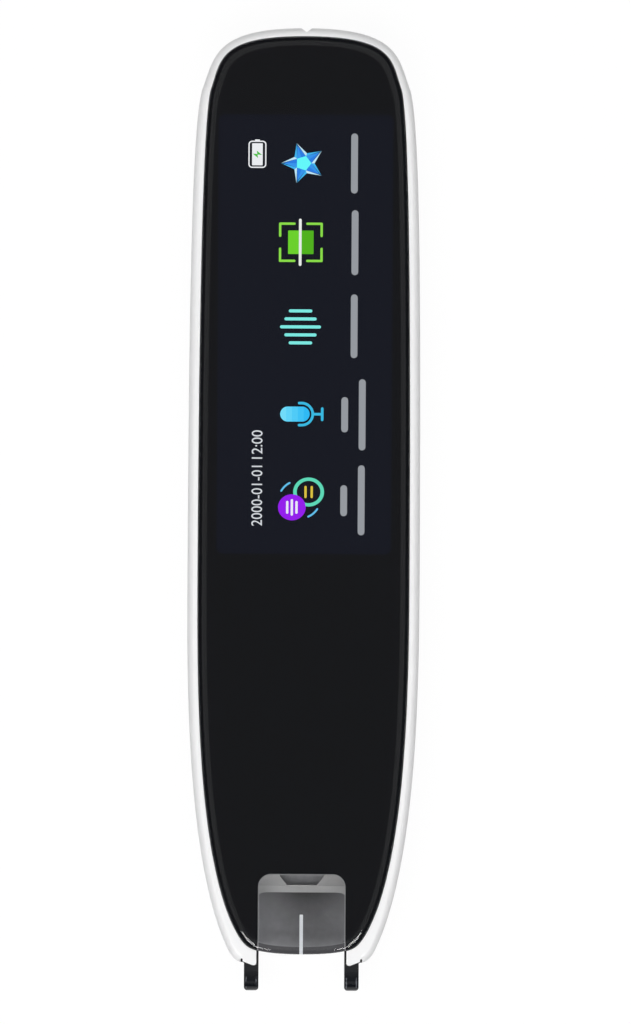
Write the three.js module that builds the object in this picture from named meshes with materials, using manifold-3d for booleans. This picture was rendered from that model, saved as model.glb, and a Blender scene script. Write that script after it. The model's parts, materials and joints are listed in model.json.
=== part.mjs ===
// Translation scanner pen, lying on its back with the screen up.
// Millimetres: +Y from the scanning tip to the tail, +Z out of the screen, origin under the box's middle.
import * as THREE from 'three';
import { mergeVertices } from 'three/addons/utils/BufferGeometryUtils.js';
import Module from 'manifold-3d';

const wasm = await Module();
wasm.setup();

// Screen side, from the middle outwards and from the tip to the tail
const displayWidth = 26.2;
const displayLength = 71;
const displaySide = 3.96;
const displayTop = 12.6;
const chinLength = 51.8;
const windowLength = 12.9;
const windowHalf = 7;
const windowCorner = 2;
const rimSide = 1.71;
const rimTip = 2.13;
const rimTail = 1.42;
const legReach = 3.82;
const noseLength = 62.05;
const glassNose = 59.92;
const crownLength = 9.67;
const glassCrown = 8.45;

// Heights of the layers, from the back up
const backWall = 1.5;
const cellPad = 0.3;
const cellThickness = 4.2;
const cellHeadroom = 0.6;
const plateThickness = 1;
const panelPad = 0.3;
const panelThickness = 2.1;
const touchThickness = 0.9;
const inkThickness = 0.1;
const gasketThickness = 0.3;
const glassThickness = 1.5;
const glassStep = 0.5;
const ledgeThickness = 1.6;

// Walls, edges and clearances of the housing
const sideWall = 1.5;
const lipFit = 0.3;
const glassFit = 0.2;
const inkInset = 0.15;
const ledgeWidth = 1.6;
const gasketEdge = 0.3;
const backRound = 7.5;
const innerRound = 5;
const endRoundShare = 0.55;
const noseRise = 1.5;
const riseLength = 29;
const seamChamfer = 0.15;
const rimRound = 0.9;
const rimRoundHeight = 1.8;
const edgeRound = 1.6;
const edgeDrop = 0.65;
const weld = 0.2;
const overrun = 3;
const runFit = 0.2;
const seatFit = 0.3;

// Scan mouth, fork and springs
const mouthHalf = 7.1;
const mouthDepth = 2.75;
const legInner = 6.93;
const legOuter = 9.28;
const forkLift = 1;
const forkHeadFit = 0.4;
const forkTravel = 1;
const bridgeLength = 3;
const footRound = 0.6;
const footSkid = 1.7;
const springRadius = 1.5;
const springWire = 0.5;
const springCurls = 5;
const springLength = 6;
const springOffset = 8;
const spigotRadius = 0.9;
const spigotLength = 1.5;
const springWall = 1.2;
const springWallHalf = 1.9;
const railWidth = 1.1;
const railLength = 4;
const railStart = 4.3;
const railPitch = 15;
const strapRadius = 0.9;
const strapInset = 4.6;
const strapHeight = 3.4;
const strapBlockHalf = 3;
const strapBlockLength = 6.8;
const grooveHalf = 0.88;
const grooveDepth = 0.68;

// Optical chassis, camera and lamps
const hoodWall = 0.5;
const hoodFloor = 0.8;
const hoodLift = 0.9;
const hoodStep = 0.3;
const legStep = 0.1;
const hoodRearHeight = 3.1;
const hoodScrewX = 4.8;
const hoodScrewInset = 2.1;
const diffuserShow = 2.95;
const diffuserSeat = 0.92;
const diffuserLip = 1.05;
const diffuserLipHeight = 1.7;
const coveWidth = 1.7;
const coveLength = 0.66;
const diffuserDrop = 0.3;
const funnelWide = 3.55;
const funnelNarrow = 2.43;
const funnelStart = 0.3;
const funnelLength = 1.45;
const lampBoardThickness = 0.8;
const lampWidth = 2.2;
const lampHeight = 1.4;
const lampThickness = 0.8;
const lampX = 5.1;
const lampZ = 1.4;
const cameraSize = 5.6;
const cameraLength = 4.5;
const barrelRadius = 2;
const barrelLength = 2;
const barrelRim = 0.5;
const barrelRecess = 0.8;
const lensBulge = 0.4;
const sensorBoardWidth = 8.4;
const sensorBoardThickness = 0.8;
const rearWall = 0.8;
const aimWidth = 0.92;
const aimLength = 6.4;

// Boards, switches and sockets
const plateStart = 47;
const plateRow = 3;
const boardFloor = 2.1;
const boardThickness = 1;
const boardInset = 0.1;
const tongueHalf = 4.5;
const tipSwitchWidth = 4;
const tipSwitchLength = 3.4;
const tipSwitchHeight = 3.4;
const plungerSize = 1.2;
const plungerSink = 0.6;
const bossRow = 5;
const bossInset = 2.1;
const bossRadius = 2;
const boreRadius = 0.9;
const screwRadius = 0.7;
const screwHeadRadius = 1.5;
const screwHeadHeight = 0.8;
const screwSink = 0.1;
const screwLength = 4;
const plateBossDrop = 1.1;
const boardScrewSideInset = 2.9;
const boardScrewInset = 3;
const connectorWidth = 7.4;
const connectorLength = 2.6;
const connectorHeight = 1.1;
const shieldWidth = 12;
const shieldLength = 11;
const shieldHeight = 1.3;
const radioWidth = 9;
const radioLength = 6;
const shieldStart = 4;
const rowGap = 1;
const micWidth = 3.8;
const micLength = 2.8;
const micHeight = 1.1;
const micInset = 1.2;
const micHole = 0.5;
const bootRadius = 1.3;
const jackLength = 5;
const jackWidth = 4.6;
const jackHeight = 3.6;
const jackInset = 5.5;
const jackBore = 1.3;
const jackNose = 1.75;
const jackHole = 1.55;
const jackDepth = 4;
const jackPin = 0.35;
const keyLength = 8;
const keyHeight = 2.2;
const keyProud = 0.35;
const keyTravel = 0.35;
const keyInset = 6;
const keyFlange = 1.1;
const keyFlangeThickness = 0.8;
const keyStem = 2.4;
const keySwitchLength = 3.6;
const keySwitchWidth = 3.4;
const keySwitchHeight = 1.7;

// Battery, speaker, flexes and aerial
const cellInset = 1.1;
const cellLength = 47.5;
const cellCorner = 1.2;
const guardLength = 3;
const guardWidth = 16;
const guardThickness = 1.2;
const leadRadius = 0.45;
const leadPitch = 1.3;
const plugGap = 2.6;
const tailRoom = 7.1;
const speakerWidth = 18;
const speakerLength = 12;
const speakerHeight = 4;
const speakerCorner = 1.5;
const coneWidth = 13;
const coneLength = 8;
const coneCorner = 3.7;
const coneDepth = 1.2;
const coneBulge = 0.5;
const meshThickness = 0.3;
const meshMargin = 1;
const slotCount = 5;
const slotPitch = 2.2;
const slotWidth = 1;
const slotLength = 6.4;
const panelMargin = 1;
const driverMargin = 3;
const ribWidth = 0.8;
const ribHeight = 1.6;
const flexThickness = 0.25;
const flexWidth = 6;
const aerialGap = 0.4;
const aerialWidth = 4.6;
const aerialLength = 14;
const aerialThickness = 0.3;
const aerialInset = 1;

// Facets of round stretches
const curveSteps = 7;
const roundLevels = 5;
const edgeLevels = 4;
const screwSides = 12;
const boreSides = 20;
const filletSteps = 4;
const wireSteps = 3;
const leadSteps = 2;

// Heights and stations that follow
const cellZ = backWall + cellPad;
const plateZ = cellZ + cellThickness + cellHeadroom;
const plateTopZ = plateZ + plateThickness;
const panelZ = plateTopZ + panelPad;
const touchZ = panelZ + panelThickness;
const inkZ = touchZ + touchThickness;
const glassZ = inkZ + inkThickness;
const topZ = glassZ + glassThickness;
const rimZ = topZ - glassStep;
const ledgeZ = inkZ - gasketThickness;
const partingZ = ledgeZ - ledgeThickness;
const glassHalf = displayWidth / 2 + displaySide;
const bodyHalf = glassHalf + rimSide;
const glassLength = windowLength + chinLength + displayLength + displayTop;
const bodyLength = rimTip + glassLength + rimTail;
const tipY = legReach - (bodyLength + legReach) / 2;
const tailY = tipY + bodyLength;
const bodyMidY = (tipY + tailY) / 2;
const glassTipY = tipY + rimTip;
const glassTailY = glassTipY + glassLength;
const windowTopY = glassTipY + windowLength;
const displayY = windowTopY + chinLength;
const displayEndY = displayY + displayLength;
const mouthY = tipY + mouthDepth;
const footY = tipY - legReach;
const boardHalf = displayWidth / 2 - boardInset;
const bossX = displayWidth / 2 - bossInset;
const boardScrewX = displayWidth / 2 - boardScrewSideInset;
const cellHalf = displayWidth / 2 - cellInset;
const plugX = bossX - bossRadius - plugGap;
const aerialEndX = bossX - bossRadius - weld - aerialGap;

// Half outlines as shares of half the width and of the stretch they lie on: the nose, then the crown
const bodyNoseShares = [
  [0, 0], [0.26, 0], [0.465, 0.005], [0.495, 0.011], [0.559, 0.015], [0.586, 0.022], [0.622, 0.0395],
  [0.994, 0.262], [1, 0.736], [1, 1],
];
const bodyCrownShares = [[0.89, 1], [0.79, 0.485], [0.798, 0], [0, 0]];
const glassNoseShares = [
  [0, 0], [0.443, 0], [0.508, 0.0187], [0.545, 0.0304], [0.636, 0.059], [0.714, 0.123], [0.725, 0.132],
  [0.978, 0.35], [1, 0.699], [1, 1],
];
const glassCrownShares = [[0.897, 1], [0.805, 0.446], [0.824, 0], [0, 0]];
const bodyFlankShares = [0.897, 0.621];
const glassFlankShares = [0.877, 0.524];

// A whole outline, tip to tail up the right side and mirrored down the left
function housingOutline(half, startY, endY, nose, crown, noseShares, crownShares, flankShares) {
  const place = ([x, y]) => new THREE.Vector2(x * half, startY + y * nose);
  const placeCrown = ([x, y]) => new THREE.Vector2(x * half, endY - y * crown);
  const side = new THREE.CurvePath();
  const nodes = noseShares.map(place);
  for (let i = 0; i + 3 < nodes.length; i += 3) {
    side.add(new THREE.CubicBezierCurve(...nodes.slice(i, i + 4)));
  }
  const widest = nodes.at(-1);
  const [shoulder, ...top] = crownShares.map(placeCrown);
  const flank = shoulder.y - widest.y;
  const leave = new THREE.Vector2(half, widest.y + flankShares[1] * flank);
  const back = shoulder.clone().sub(top[0]).multiplyScalar(flankShares[0]).add(shoulder);
  side.add(new THREE.CubicBezierCurve(widest, leave, back, shoulder));
  side.add(new THREE.CubicBezierCurve(shoulder, ...top));
  const right = [];
  for (const curve of side.curves) {
    right.push(...curve.getPoints(curveSteps).slice(right.length ? 1 : 0));
  }
  const left = right.slice(1, -1).reverse().map((point) => new THREE.Vector2(-point.x, point.y));
  return [...right, ...left];
}

const bodyOutline = housingOutline(
  bodyHalf, tipY, tailY, noseLength, crownLength,
  bodyNoseShares, bodyCrownShares, bodyFlankShares,
);
const glassOutline = housingOutline(
  glassHalf, glassTipY, glassTailY, glassNose, glassCrown,
  glassNoseShares, glassCrownShares, glassFlankShares,
);

// Solids: closed meshes to manifold solids and back
function toSolid(geometry) {
  let bare = geometry.index ? geometry.toNonIndexed() : geometry.clone();
  bare.deleteAttribute('normal');
  bare.deleteAttribute('uv');
  bare = mergeVertices(bare);
  const vertProperties = new Float32Array(bare.attributes.position.array);
  const triVerts = new Uint32Array(bare.index.array);
  return new wasm.Manifold(new wasm.Mesh({ numProp: 3, vertProperties, triVerts }));
}

function toGeometry(solid) {
  const { vertProperties, triVerts } = solid.getMesh();
  const geometry = new THREE.BufferGeometry();
  geometry.setAttribute('position', new THREE.BufferAttribute(new Float32Array(vertProperties), 3));
  geometry.setIndex(new THREE.BufferAttribute(new Uint32Array(triVerts), 1));
  geometry.computeVertexNormals();
  return geometry;
}

const joined = (solids) => solids.reduce((whole, solid) => whole.add(solid));
const cutBy = (solid, cutters) => cutters.reduce((rest, cutter) => rest.subtract(cutter), solid);

function box([x0, x1], [y0, y1], [z0, z1]) {
  const geometry = new THREE.BoxGeometry(x1 - x0, y1 - y0, z1 - z0);
  return toSolid(geometry.translate((x0 + x1) / 2, (y0 + y1) / 2, (z0 + z1) / 2));
}

// A round bar from one point to another
function bar(from, to, radius, sides = screwSides) {
  const start = new THREE.Vector3(...from);
  const along = new THREE.Vector3(...to).sub(start);
  const geometry = new THREE.CylinderGeometry(radius, radius, along.length(), sides);
  const upright = new THREE.Vector3(0, 1, 0);
  const turn = new THREE.Quaternion().setFromUnitVectors(upright, along.clone().normalize());
  geometry.applyQuaternion(turn);
  geometry.translate(...start.addScaledVector(along, 1 / 2).toArray());
  return toSolid(geometry);
}

// A plan shape pushed up from one height to another
function slab(shape, [z0, z1]) {
  const options = { depth: z1 - z0, bevelEnabled: false, curveSegments: filletSteps };
  return toSolid(new THREE.ExtrudeGeometry(shape, options).translate(0, 0, z0));
}

// A side view, its points given as y and z, pushed across from one x to another
function sidePush(shape, [x0, x1]) {
  const options = { depth: x1 - x0, bevelEnabled: false, curveSegments: filletSteps };
  const turn = new THREE.Matrix4().makeBasis(
    new THREE.Vector3(0, 1, 0), new THREE.Vector3(0, 0, 1), new THREE.Vector3(1, 0, 0),
  );
  return toSolid(new THREE.ExtrudeGeometry(shape, options).applyMatrix4(turn).translate(x0, 0, 0));
}

const polygon = (points) => new THREE.Shape(points.map(([x, y]) => new THREE.Vector2(x, y)));

function roundedRectangle([x0, x1], [y0, y1], radius) {
  const shape = new THREE.Shape();
  shape.moveTo(x0 + radius, y0);
  shape.lineTo(x1 - radius, y0);
  shape.absarc(x1 - radius, y0 + radius, radius, -Math.PI / 2, 0);
  shape.absarc(x1 - radius, y1 - radius, radius, 0, Math.PI / 2);
  shape.absarc(x0 + radius, y1 - radius, radius, Math.PI / 2, Math.PI);
  shape.absarc(x0 + radius, y0 + radius, radius, Math.PI, Math.PI * 3 / 2);
  shape.closePath();
  return shape;
}

// How far the back lifts off the table at the nose, fading out at the seam
function noseLift(y, z) {
  const into = Math.max(0, tipY + riseLength - y) / riseLength;
  return noseRise * into ** 2 * Math.max(0, 1 - z / partingZ);
}

// Stacked copies of an outline, drawn in by each level's inset, capped with strips across
function loft(points, half, midY, halfLength, levels) {
  const positions = [];
  const index = [];
  const count = points.length;
  for (const { z, inset, endInset = inset } of levels) {
    for (const point of points) {
      const x = point.x * (half - inset) / half;
      const y = midY + (point.y - midY) * (halfLength - endInset) / halfLength;
      positions.push(x, y, z + noseLift(y, z));
    }
  }
  for (let level = 0; level + 1 < levels.length; level += 1) {
    for (let i = 0; i < count; i += 1) {
      const low = level * count + i;
      const lowNext = level * count + (i + 1) % count;
      index.push(low, lowNext, lowNext + count, low, lowNext + count, low + count);
    }
  }
  const last = (levels.length - 1) * count;
  const capped = (a, b, c) => index.push(a, c, b, last + a, last + b, last + c);
  for (let i = 1; i < count / 2 - 1; i += 1) {
    capped(i, i + 1, count - i - 1);
    capped(i, count - i - 1, count - i);
  }
  capped(0, 1, count - 1);
  capped(count / 2 - 1, count / 2, count / 2 + 1);
  const geometry = new THREE.BufferGeometry();
  geometry.setAttribute('position', new THREE.Float32BufferAttribute(positions, 3));
  geometry.setIndex(index);
  return toSolid(geometry);
}

const bodyLoft = (levels) => loft(bodyOutline, bodyHalf, bodyMidY, bodyLength / 2, levels);
const glassMidY = (glassTipY + glassTailY) / 2;
const glassLoft = (levels) => loft(glassOutline, glassHalf, glassMidY, glassLength / 2, levels);
const straight = (inset, [z0, z1]) => [{ z: z0, inset }, { z: z1, inset }];

// Levels of a rounded back: flat in the middle, upright at the seam
function roundedLevels(floor, round, inset) {
  const levels = [];
  for (let i = 0; i <= roundLevels; i += 1) {
    const turn = i / roundLevels * Math.PI / 2;
    const draw = round * (1 - Math.sin(turn));
    const z = floor + (partingZ - floor) * (1 - Math.cos(turn));
    levels.push({ z, inset: inset + draw, endInset: inset + endRoundShare * draw });
  }
  return levels;
}

// Half the width of the body outline at a station, and the draw-in of a rounded back at a height
function halfWidthAt(y) {
  const right = bodyOutline.filter((point) => point.x > 0);
  const above = right.findIndex((point) => point.y > y);
  const [low, high] = [right[above - 1], right[above]];
  return THREE.MathUtils.mapLinear(y, low.y, high.y, low.x, high.x);
}

function drawAt(z, floor, round) {
  const fall = 1 - (z - floor) / (partingZ - floor);
  return round * (1 - Math.sqrt(1 - fall ** 2));
}

function outerX(y, z) {
  return halfWidthAt(y) * (bodyHalf - drawAt(z, 0, backRound)) / bodyHalf;
}

function innerX(y, z) {
  return halfWidthAt(y) * (bodyHalf - sideWall - drawAt(z, backWall, innerRound)) / bodyHalf;
}

// Stations along the pen that several pieces share
const speakerEndY = tailY - tailRoom;
const speakerY = speakerEndY - speakerLength;
const tailRowY = speakerY - bossRow / 2;
const cellEndY = tailRowY - bossRow / 2;
const cellY = cellEndY - cellLength;
const midRowY = cellY - bossRow / 2;
const boardEndY = midRowY - bossRow / 2;
const plateY = tipY + plateStart;
const noseRowY = plateY + plateRow;
const boardZ = backWall + boardFloor;
const boardTopZ = boardZ + boardThickness;
const headSeatZ = plateTopZ - screwHeadHeight - screwSink;
const plateBossZ = plateZ - plateBossDrop;
const forkZ = backWall + noseRise + forkLift;
const forkTopZ = partingZ - forkHeadFit;
const hoodZ = backWall + noseRise + hoodLift;
const hoodFloorZ = hoodZ + hoodFloor;
const hoodInner = windowHalf + seatFit / 2;
const hoodOuter = hoodInner + hoodWall;
const legSlimInner = hoodOuter + runFit;
const cameraZ = hoodFloorZ + cameraSize / 2;
const diffuserY = windowTopY - diffuserShow;
const diffuserBackY = windowTopY + diffuserSeat;
const lampBoardY = diffuserBackY + seatFit;
const cameraY = lampBoardY + lampBoardThickness + seatFit;
const sensorBoardY = cameraY + cameraLength;
const rearWallY = sensorBoardY + sensorBoardThickness + seatFit;
const hoodScrewY = rearWallY + rearWall + hoodScrewInset;
const hoodEndY = hoodScrewY + hoodScrewInset;
const bridgeY = hoodEndY + seatFit;
const bridgeEndY = bridgeY + bridgeLength;
const springY = bridgeEndY + seatFit;
const springWallY = springY + springLength + seatFit;
const forkMidZ = (forkZ + forkTopZ) / 2;
const boardNoseY = springWallY + springWall + seatFit;
const tongueY = bridgeEndY + forkTravel + seatFit;
const tipSwitchY = tongueY + runFit;
const keyZ = plateZ - seatFit - keyHeight / 2;
const keyY = boardEndY - keyInset;
const jackZ = plateZ - seatFit - jackHeight / 2;
const jackY = boardEndY - jackInset;
const jackX = seatFit - innerX(jackY, jackZ - jackHeight / 2);
const jackNoseX = seatFit - innerX(jackY, jackZ - jackNose);
const micY = boardNoseY + micInset + micLength / 2;
const frameRows = [noseRowY, midRowY, tailRowY];
const framePlaces = frameRows.flatMap((y) => [[-bossX, y], [bossX, y]]);
const boardPlaces = [-boardScrewX, boardScrewX].map((x) => [x, boardNoseY + boardScrewInset]);
const hoodPlaces = [-hoodScrewX, hoodScrewX].map((x) => [x, hoodScrewY]);

// Materials, one for each finish
function finish(color, roughness, metalness = 0) {
  return new THREE.MeshStandardMaterial({ color, roughness, metalness });
}

const whiteShell = finish(0xebebed, 0.38);
const whiteKey = finish(0xe4e4e6, 0.4);
const blackGloss = finish(0x131416, 0.15);
const inkBlack = finish(0x0b0b0d, 0.5);
const aimWhite = finish(0xe8ebee, 0.6);
const rubberBlack = finish(0x1b1b1d, 0.85);
const darkPlastic = finish(0x3a3b3e, 0.6);
const greyPlastic = finish(0xa7a8ac, 0.55);
const panelDark = finish(0x16171d, 0.3);
const boardGreen = finish(0x1f4d35, 0.55);
const lampYellow = finish(0xf2e7b8, 0.4);
const steel = finish(0xb9bbbf, 0.35, 1);
const gold = finish(0xc9a24d, 0.3, 1);
const cellFoil = finish(0xb4b7bb, 0.45, 0.6);
const flexBrown = finish(0x8a5a22, 0.5);
const wireRed = finish(0xb3221d, 0.6);
const wireBlack = finish(0x17171a, 0.6);
const glassClear = new THREE.MeshStandardMaterial({
  color: 0x1a1b1f, roughness: 0.05, metalness: 0, transparent: true, opacity: 0.45,
});

const pen = new THREE.Group();

function add(name, solid, material) {
  const mesh = new THREE.Mesh(toGeometry(solid), material);
  mesh.name = name;
  pen.add(mesh);
}

// Shapes that cut both shells: the open scan mouth and the strap groove in the tail
const throughZ = [-overrun, topZ + overrun];
const mouthCut = box([-mouthHalf, mouthHalf], [tipY - overrun, mouthY], throughZ);
const grooveShape = polygon([
  [-grooveHalf, tailY + overrun], [-grooveHalf, tailY], [0, tailY - grooveDepth],
  [grooveHalf, tailY], [grooveHalf, tailY + overrun],
]);
const grooveCut = slab(grooveShape, [strapHeight, topZ + overrun]);

// Front frame: the white rim, the ledge under the glass, the skirt inside the back cover and the mid plate
function frontFrame() {
  const rimLevels = [{ z: partingZ, inset: seamChamfer }, { z: partingZ + seamChamfer, inset: 0 }];
  for (let i = 0; i <= edgeLevels; i += 1) {
    const turn = i / edgeLevels * Math.PI / 2;
    const inset = rimRound * (1 - Math.cos(turn));
    rimLevels.push({ z: rimZ - rimRoundHeight * (1 - Math.sin(turn)), inset });
  }
  const rim = bodyLoft(rimLevels);
  const skirt = bodyLoft(straight(sideWall + lipFit, [plateZ, partingZ + weld]));
  const upTo = topZ + overrun;
  const pocket = glassLoft(straight(-glassFit, [ledgeZ, upTo]));
  const well = glassLoft(straight(ledgeWidth, [plateTopZ, upTo]));
  const noseWell = glassLoft(straight(ledgeWidth, [0, upTo]));
  const noseZone = box([-bodyHalf, bodyHalf], [footY, plateY], [0, upTo]);
  const legs = box([-legOuter - seatFit, legOuter + seatFit], [footY, plateY], [0, partingZ]);
  const hoodX = hoodOuter + runFit;
  const hoodRoom = box([-hoodX, hoodX], [mouthY, plateY], [0, inkZ]);
  const openings = [pocket, well, noseWell.intersect(noseZone), legs, hoodRoom, mouthCut, grooveCut];
  const frame = cutBy(rim.add(skirt), openings);
  const upright = (z0, z1, radius) => framePlaces.map(([x, y]) => bar([x, y, z0], [x, y, z1], radius));
  const bosses = upright(plateBossZ, plateZ + weld, bossRadius + weld);
  const heads = upright(headSeatZ, upTo, screwHeadRadius + runFit);
  const shanks = upright(0, upTo, boreRadius);
  const span = [-displayWidth / 2, displayWidth / 2];
  const ribZ = [plateTopZ - weld, plateTopZ + ribHeight];
  const lowRibY = displayY - driverMargin - seatFit;
  const highRibY = displayEndY + panelMargin + seatFit;
  const ribs = [lowRibY - ribWidth, highRibY].map((y) => box(span, [y, y + ribWidth], ribZ));
  const flexY = displayY - driverMargin;
  const flexSlot = box(
    [-flexWidth / 2 - seatFit, flexWidth / 2 + seatFit],
    [flexY - flexWidth, flexY], [plateZ - weld, plateTopZ + ribHeight + weld],
  );
  return cutBy(joined([frame, ...bosses, ...ribs]), [...heads, ...shanks, flexSlot]);
}

// Back cover: the rounded tub with its toes, rails, spring walls, bosses and openings
function backCover() {
  const outerLevels = roundedLevels(0, backRound, 0);
  outerLevels.at(-1).z = partingZ - seamChamfer;
  outerLevels.push({ z: partingZ, inset: seamChamfer, endInset: seamChamfer });
  const tub = bodyLoft(outerLevels);
  const cavityLevels = roundedLevels(backWall, innerRound, sideWall);
  cavityLevels.push({ z: partingZ + overrun, inset: sideWall });
  const cavity = bodyLoft(cavityLevels);
  const floorUp = backWall / 2;
  const fittings = [];
  for (const side of [-1, 1]) {
    const across = (a, b) => [Math.min(side * a, side * b), Math.max(side * a, side * b)];
    for (const along of [0, railPitch]) {
      const y = mouthY + railStart + along;
      const ends = [y, y + railLength];
      const outside = legOuter + runFit;
      fittings.push(box(across(legSlimInner, outside + railWidth), ends, [floorUp, forkZ - runFit]));
      fittings.push(box(across(outside, outside + railWidth), ends, [floorUp, plateZ - seatFit]));
    }
    const middle = side * springOffset;
    const wallX = [middle - springWallHalf, middle + springWallHalf];
    fittings.push(box(wallX, [springWallY, springWallY + springWall], [floorUp, forkTopZ]));
    const tipOfSpigot = springWallY - spigotLength;
    fittings.push(bar([middle, tipOfSpigot, forkMidZ], [middle, springWallY + weld, forkMidZ], spigotRadius));
  }
  const post = ([x, y], top) => bar([x, y, floorUp], [x, y, top], bossRadius);
  fittings.push(...framePlaces.map((place) => post(place, plateBossZ)));
  fittings.push(...boardPlaces.map((place) => post(place, boardZ)));
  fittings.push(...hoodPlaces.map((place) => post(place, hoodZ)));
  const blockX = [-strapBlockHalf, strapBlockHalf];
  fittings.push(box(blockX, [tailY - strapBlockLength, tailY], [floorUp, plateZ - seatFit]));
  const cover = cutBy(tub, [cavity]).add(joined(fittings).intersect(tub));
  const bore = ([x, y], top) => bar([x, y, top - screwLength], [x, y, top + overrun], boreRadius);
  const legX = legOuter + seatFit;
  const strapY = tailY - strapInset;
  const cutters = [
    mouthCut, grooveCut,
    ...framePlaces.map((place) => bore(place, plateBossZ + weld)),
    ...boardPlaces.map(([x, y]) => bar([x, y, backWall], [x, y, boardTopZ], boreRadius)),
    ...hoodPlaces.map(([x, y]) => bar([x, y, backWall], [x, y, hoodFloorZ], boreRadius)),
    box([-legX, legX], [footY, mouthY + railStart], [forkZ - runFit, partingZ + overrun]),
    bar([0, tailY + overrun, strapHeight], [0, strapY - strapRadius, strapHeight], strapRadius),
    bar([0, strapY, strapHeight], [0, strapY, -overrun], strapRadius),
    bar([0, micY, -overrun], [0, micY, backWall + overrun], micHole),
    bar([-bodyHalf - overrun, jackY, jackZ], [jackNoseX, jackY, jackZ], jackHole, boreSides),
    sidePush(keyOutline(runFit), [innerX(keyY, keyZ) - sideWall, bodyHalf + overrun]),
  ];
  const middleY = (speakerY + speakerEndY) / 2;
  for (let i = 0; i < slotCount; i += 1) {
    const x = (i - (slotCount - 1) / 2) * slotPitch;
    const shape = roundedRectangle(
      [x - slotWidth / 2, x + slotWidth / 2], [middleY - slotLength / 2, middleY + slotLength / 2],
      slotWidth / 2,
    );
    cutters.push(slab(shape, [-overrun, backWall + weld]));
  }
  return cutBy(cover, cutters);
}

// Side view of the power key, grown by a clearance for its opening
function keyOutline(grow) {
  const [y, z] = [keyLength / 2 + grow, keyHeight / 2 + grow];
  return roundedRectangle([keyY - y, keyY + y], [keyZ - z, keyZ + z], z);
}

// Cover glass with its polished edge, the ink and the aim line printed under it
function coverGlass() {
  const levels = [{ z: glassZ, inset: 0 }];
  for (let i = 0; i <= edgeLevels; i += 1) {
    const turn = i / edgeLevels * Math.PI / 2;
    levels.push({ z: topZ - edgeDrop * (1 - Math.sin(turn)), inset: edgeRound * (1 - Math.cos(turn)) });
  }
  return glassLoft(levels);
}

function inkMask() {
  const sheet = glassLoft(straight(inkInset, [inkZ, glassZ]));
  const show = [-displayWidth / 2, displayWidth / 2];
  const pane = slab(roundedRectangle(show, [displayY, displayEndY], windowCorner / 2), throughZ);
  const bottom = glassTipY - windowCorner - overrun;
  const opening = roundedRectangle([-windowHalf, windowHalf], [bottom, windowTopY], windowCorner);
  return cutBy(sheet, [pane, slab(opening, throughZ)]);
}

function aimLine() {
  const start = glassTipY + inkInset;
  return box([-aimWidth / 2, aimWidth / 2], [start, start + aimLength], [inkZ, glassZ]);
}

function glassGasket() {
  const outer = glassLoft(straight(gasketEdge, [ledgeZ, inkZ]));
  const inner = glassLoft(straight(ledgeWidth - gasketEdge, [ledgeZ - overrun, inkZ + overrun]));
  const gap = box([-hoodOuter - runFit, hoodOuter + runFit], [tipY - overrun, plateY], throughZ);
  return cutBy(outer, [inner, gap]);
}

// Scan hood: the channel from the mouth to the camera, with its screw ears
function scanHood() {
  const wallY = mouthY + forkTravel + hoodStep + seatFit;
  const rearTop = hoodZ + hoodRearHeight;
  const side = polygon([
    [wallY, hoodZ], [hoodEndY, hoodZ], [hoodEndY, rearTop], [rearWallY + rearWall, rearTop],
    [rearWallY + rearWall, inkZ], [wallY, inkZ],
  ]);
  const walls = [sidePush(side, [hoodInner, hoodOuter]), sidePush(side, [-hoodOuter, -hoodInner])];
  const floor = box([-hoodOuter, hoodOuter], [wallY, hoodEndY], [hoodZ, hoodFloorZ]);
  const sillHalf = legInner - runFit;
  const sill = box([-sillHalf, sillHalf], [mouthY + hoodStep, wallY + weld], [hoodZ, hoodFloorZ]);
  const back = box([-hoodOuter, hoodOuter], [rearWallY, rearWallY + rearWall], [hoodZ, forkTopZ]);
  const bores = hoodPlaces.map(([x, y]) => bar([x, y, 0], [x, y, topZ], boreRadius));
  return cutBy(joined([floor, sill, back, ...walls]), bores);
}

// Light-grey scoop that spreads the lamps' light, with the camera's funnel through its middle
function lightDiffuser() {
  const half = hoodInner - seatFit / 2;
  const top = inkZ - diffuserDrop;
  const coveY = diffuserY - coveLength;
  const plan = new THREE.Shape();
  plan.moveTo(-half, diffuserBackY);
  plan.lineTo(-half, coveY);
  plan.quadraticCurveTo(-half, diffuserY, coveWidth - half, diffuserY);
  plan.lineTo(half - coveWidth, diffuserY);
  plan.quadraticCurveTo(half, diffuserY, half, coveY);
  plan.lineTo(half, diffuserBackY);
  plan.closePath();
  const lipZ = hoodFloorZ + diffuserLipHeight;
  const side = polygon([
    [coveY, hoodFloorZ], [diffuserBackY, hoodFloorZ], [diffuserBackY, top], [windowTopY, top],
    [diffuserY + diffuserLip, lipZ], [coveY, lipZ],
  ]);
  const body = slab(plan, [hoodFloorZ, topZ]).intersect(sidePush(side, [-half, half]));
  const funnelY = windowTopY - funnelStart;
  const funnel = polygon([
    [-funnelNarrow, funnelY - funnelLength], [funnelNarrow, funnelY - funnelLength], [funnelWide, funnelY],
    [funnelWide, diffuserBackY + overrun], [-funnelWide, diffuserBackY + overrun], [-funnelWide, funnelY],
  ]);
  const pockets = lampBoxes(seatFit / 2);
  return cutBy(body, [slab(funnel, [hoodFloorZ + diffuserDrop, topZ]), ...pockets]);
}

function lampBoxes(grow) {
  return [-lampX, lampX].map((x) => box(
    [x - lampWidth / 2 - grow, x + lampWidth / 2 + grow],
    [lampBoardY - lampThickness - grow, lampBoardY],
    [hoodFloorZ + lampZ - grow, hoodFloorZ + lampZ + lampHeight + grow],
  ));
}

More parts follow.
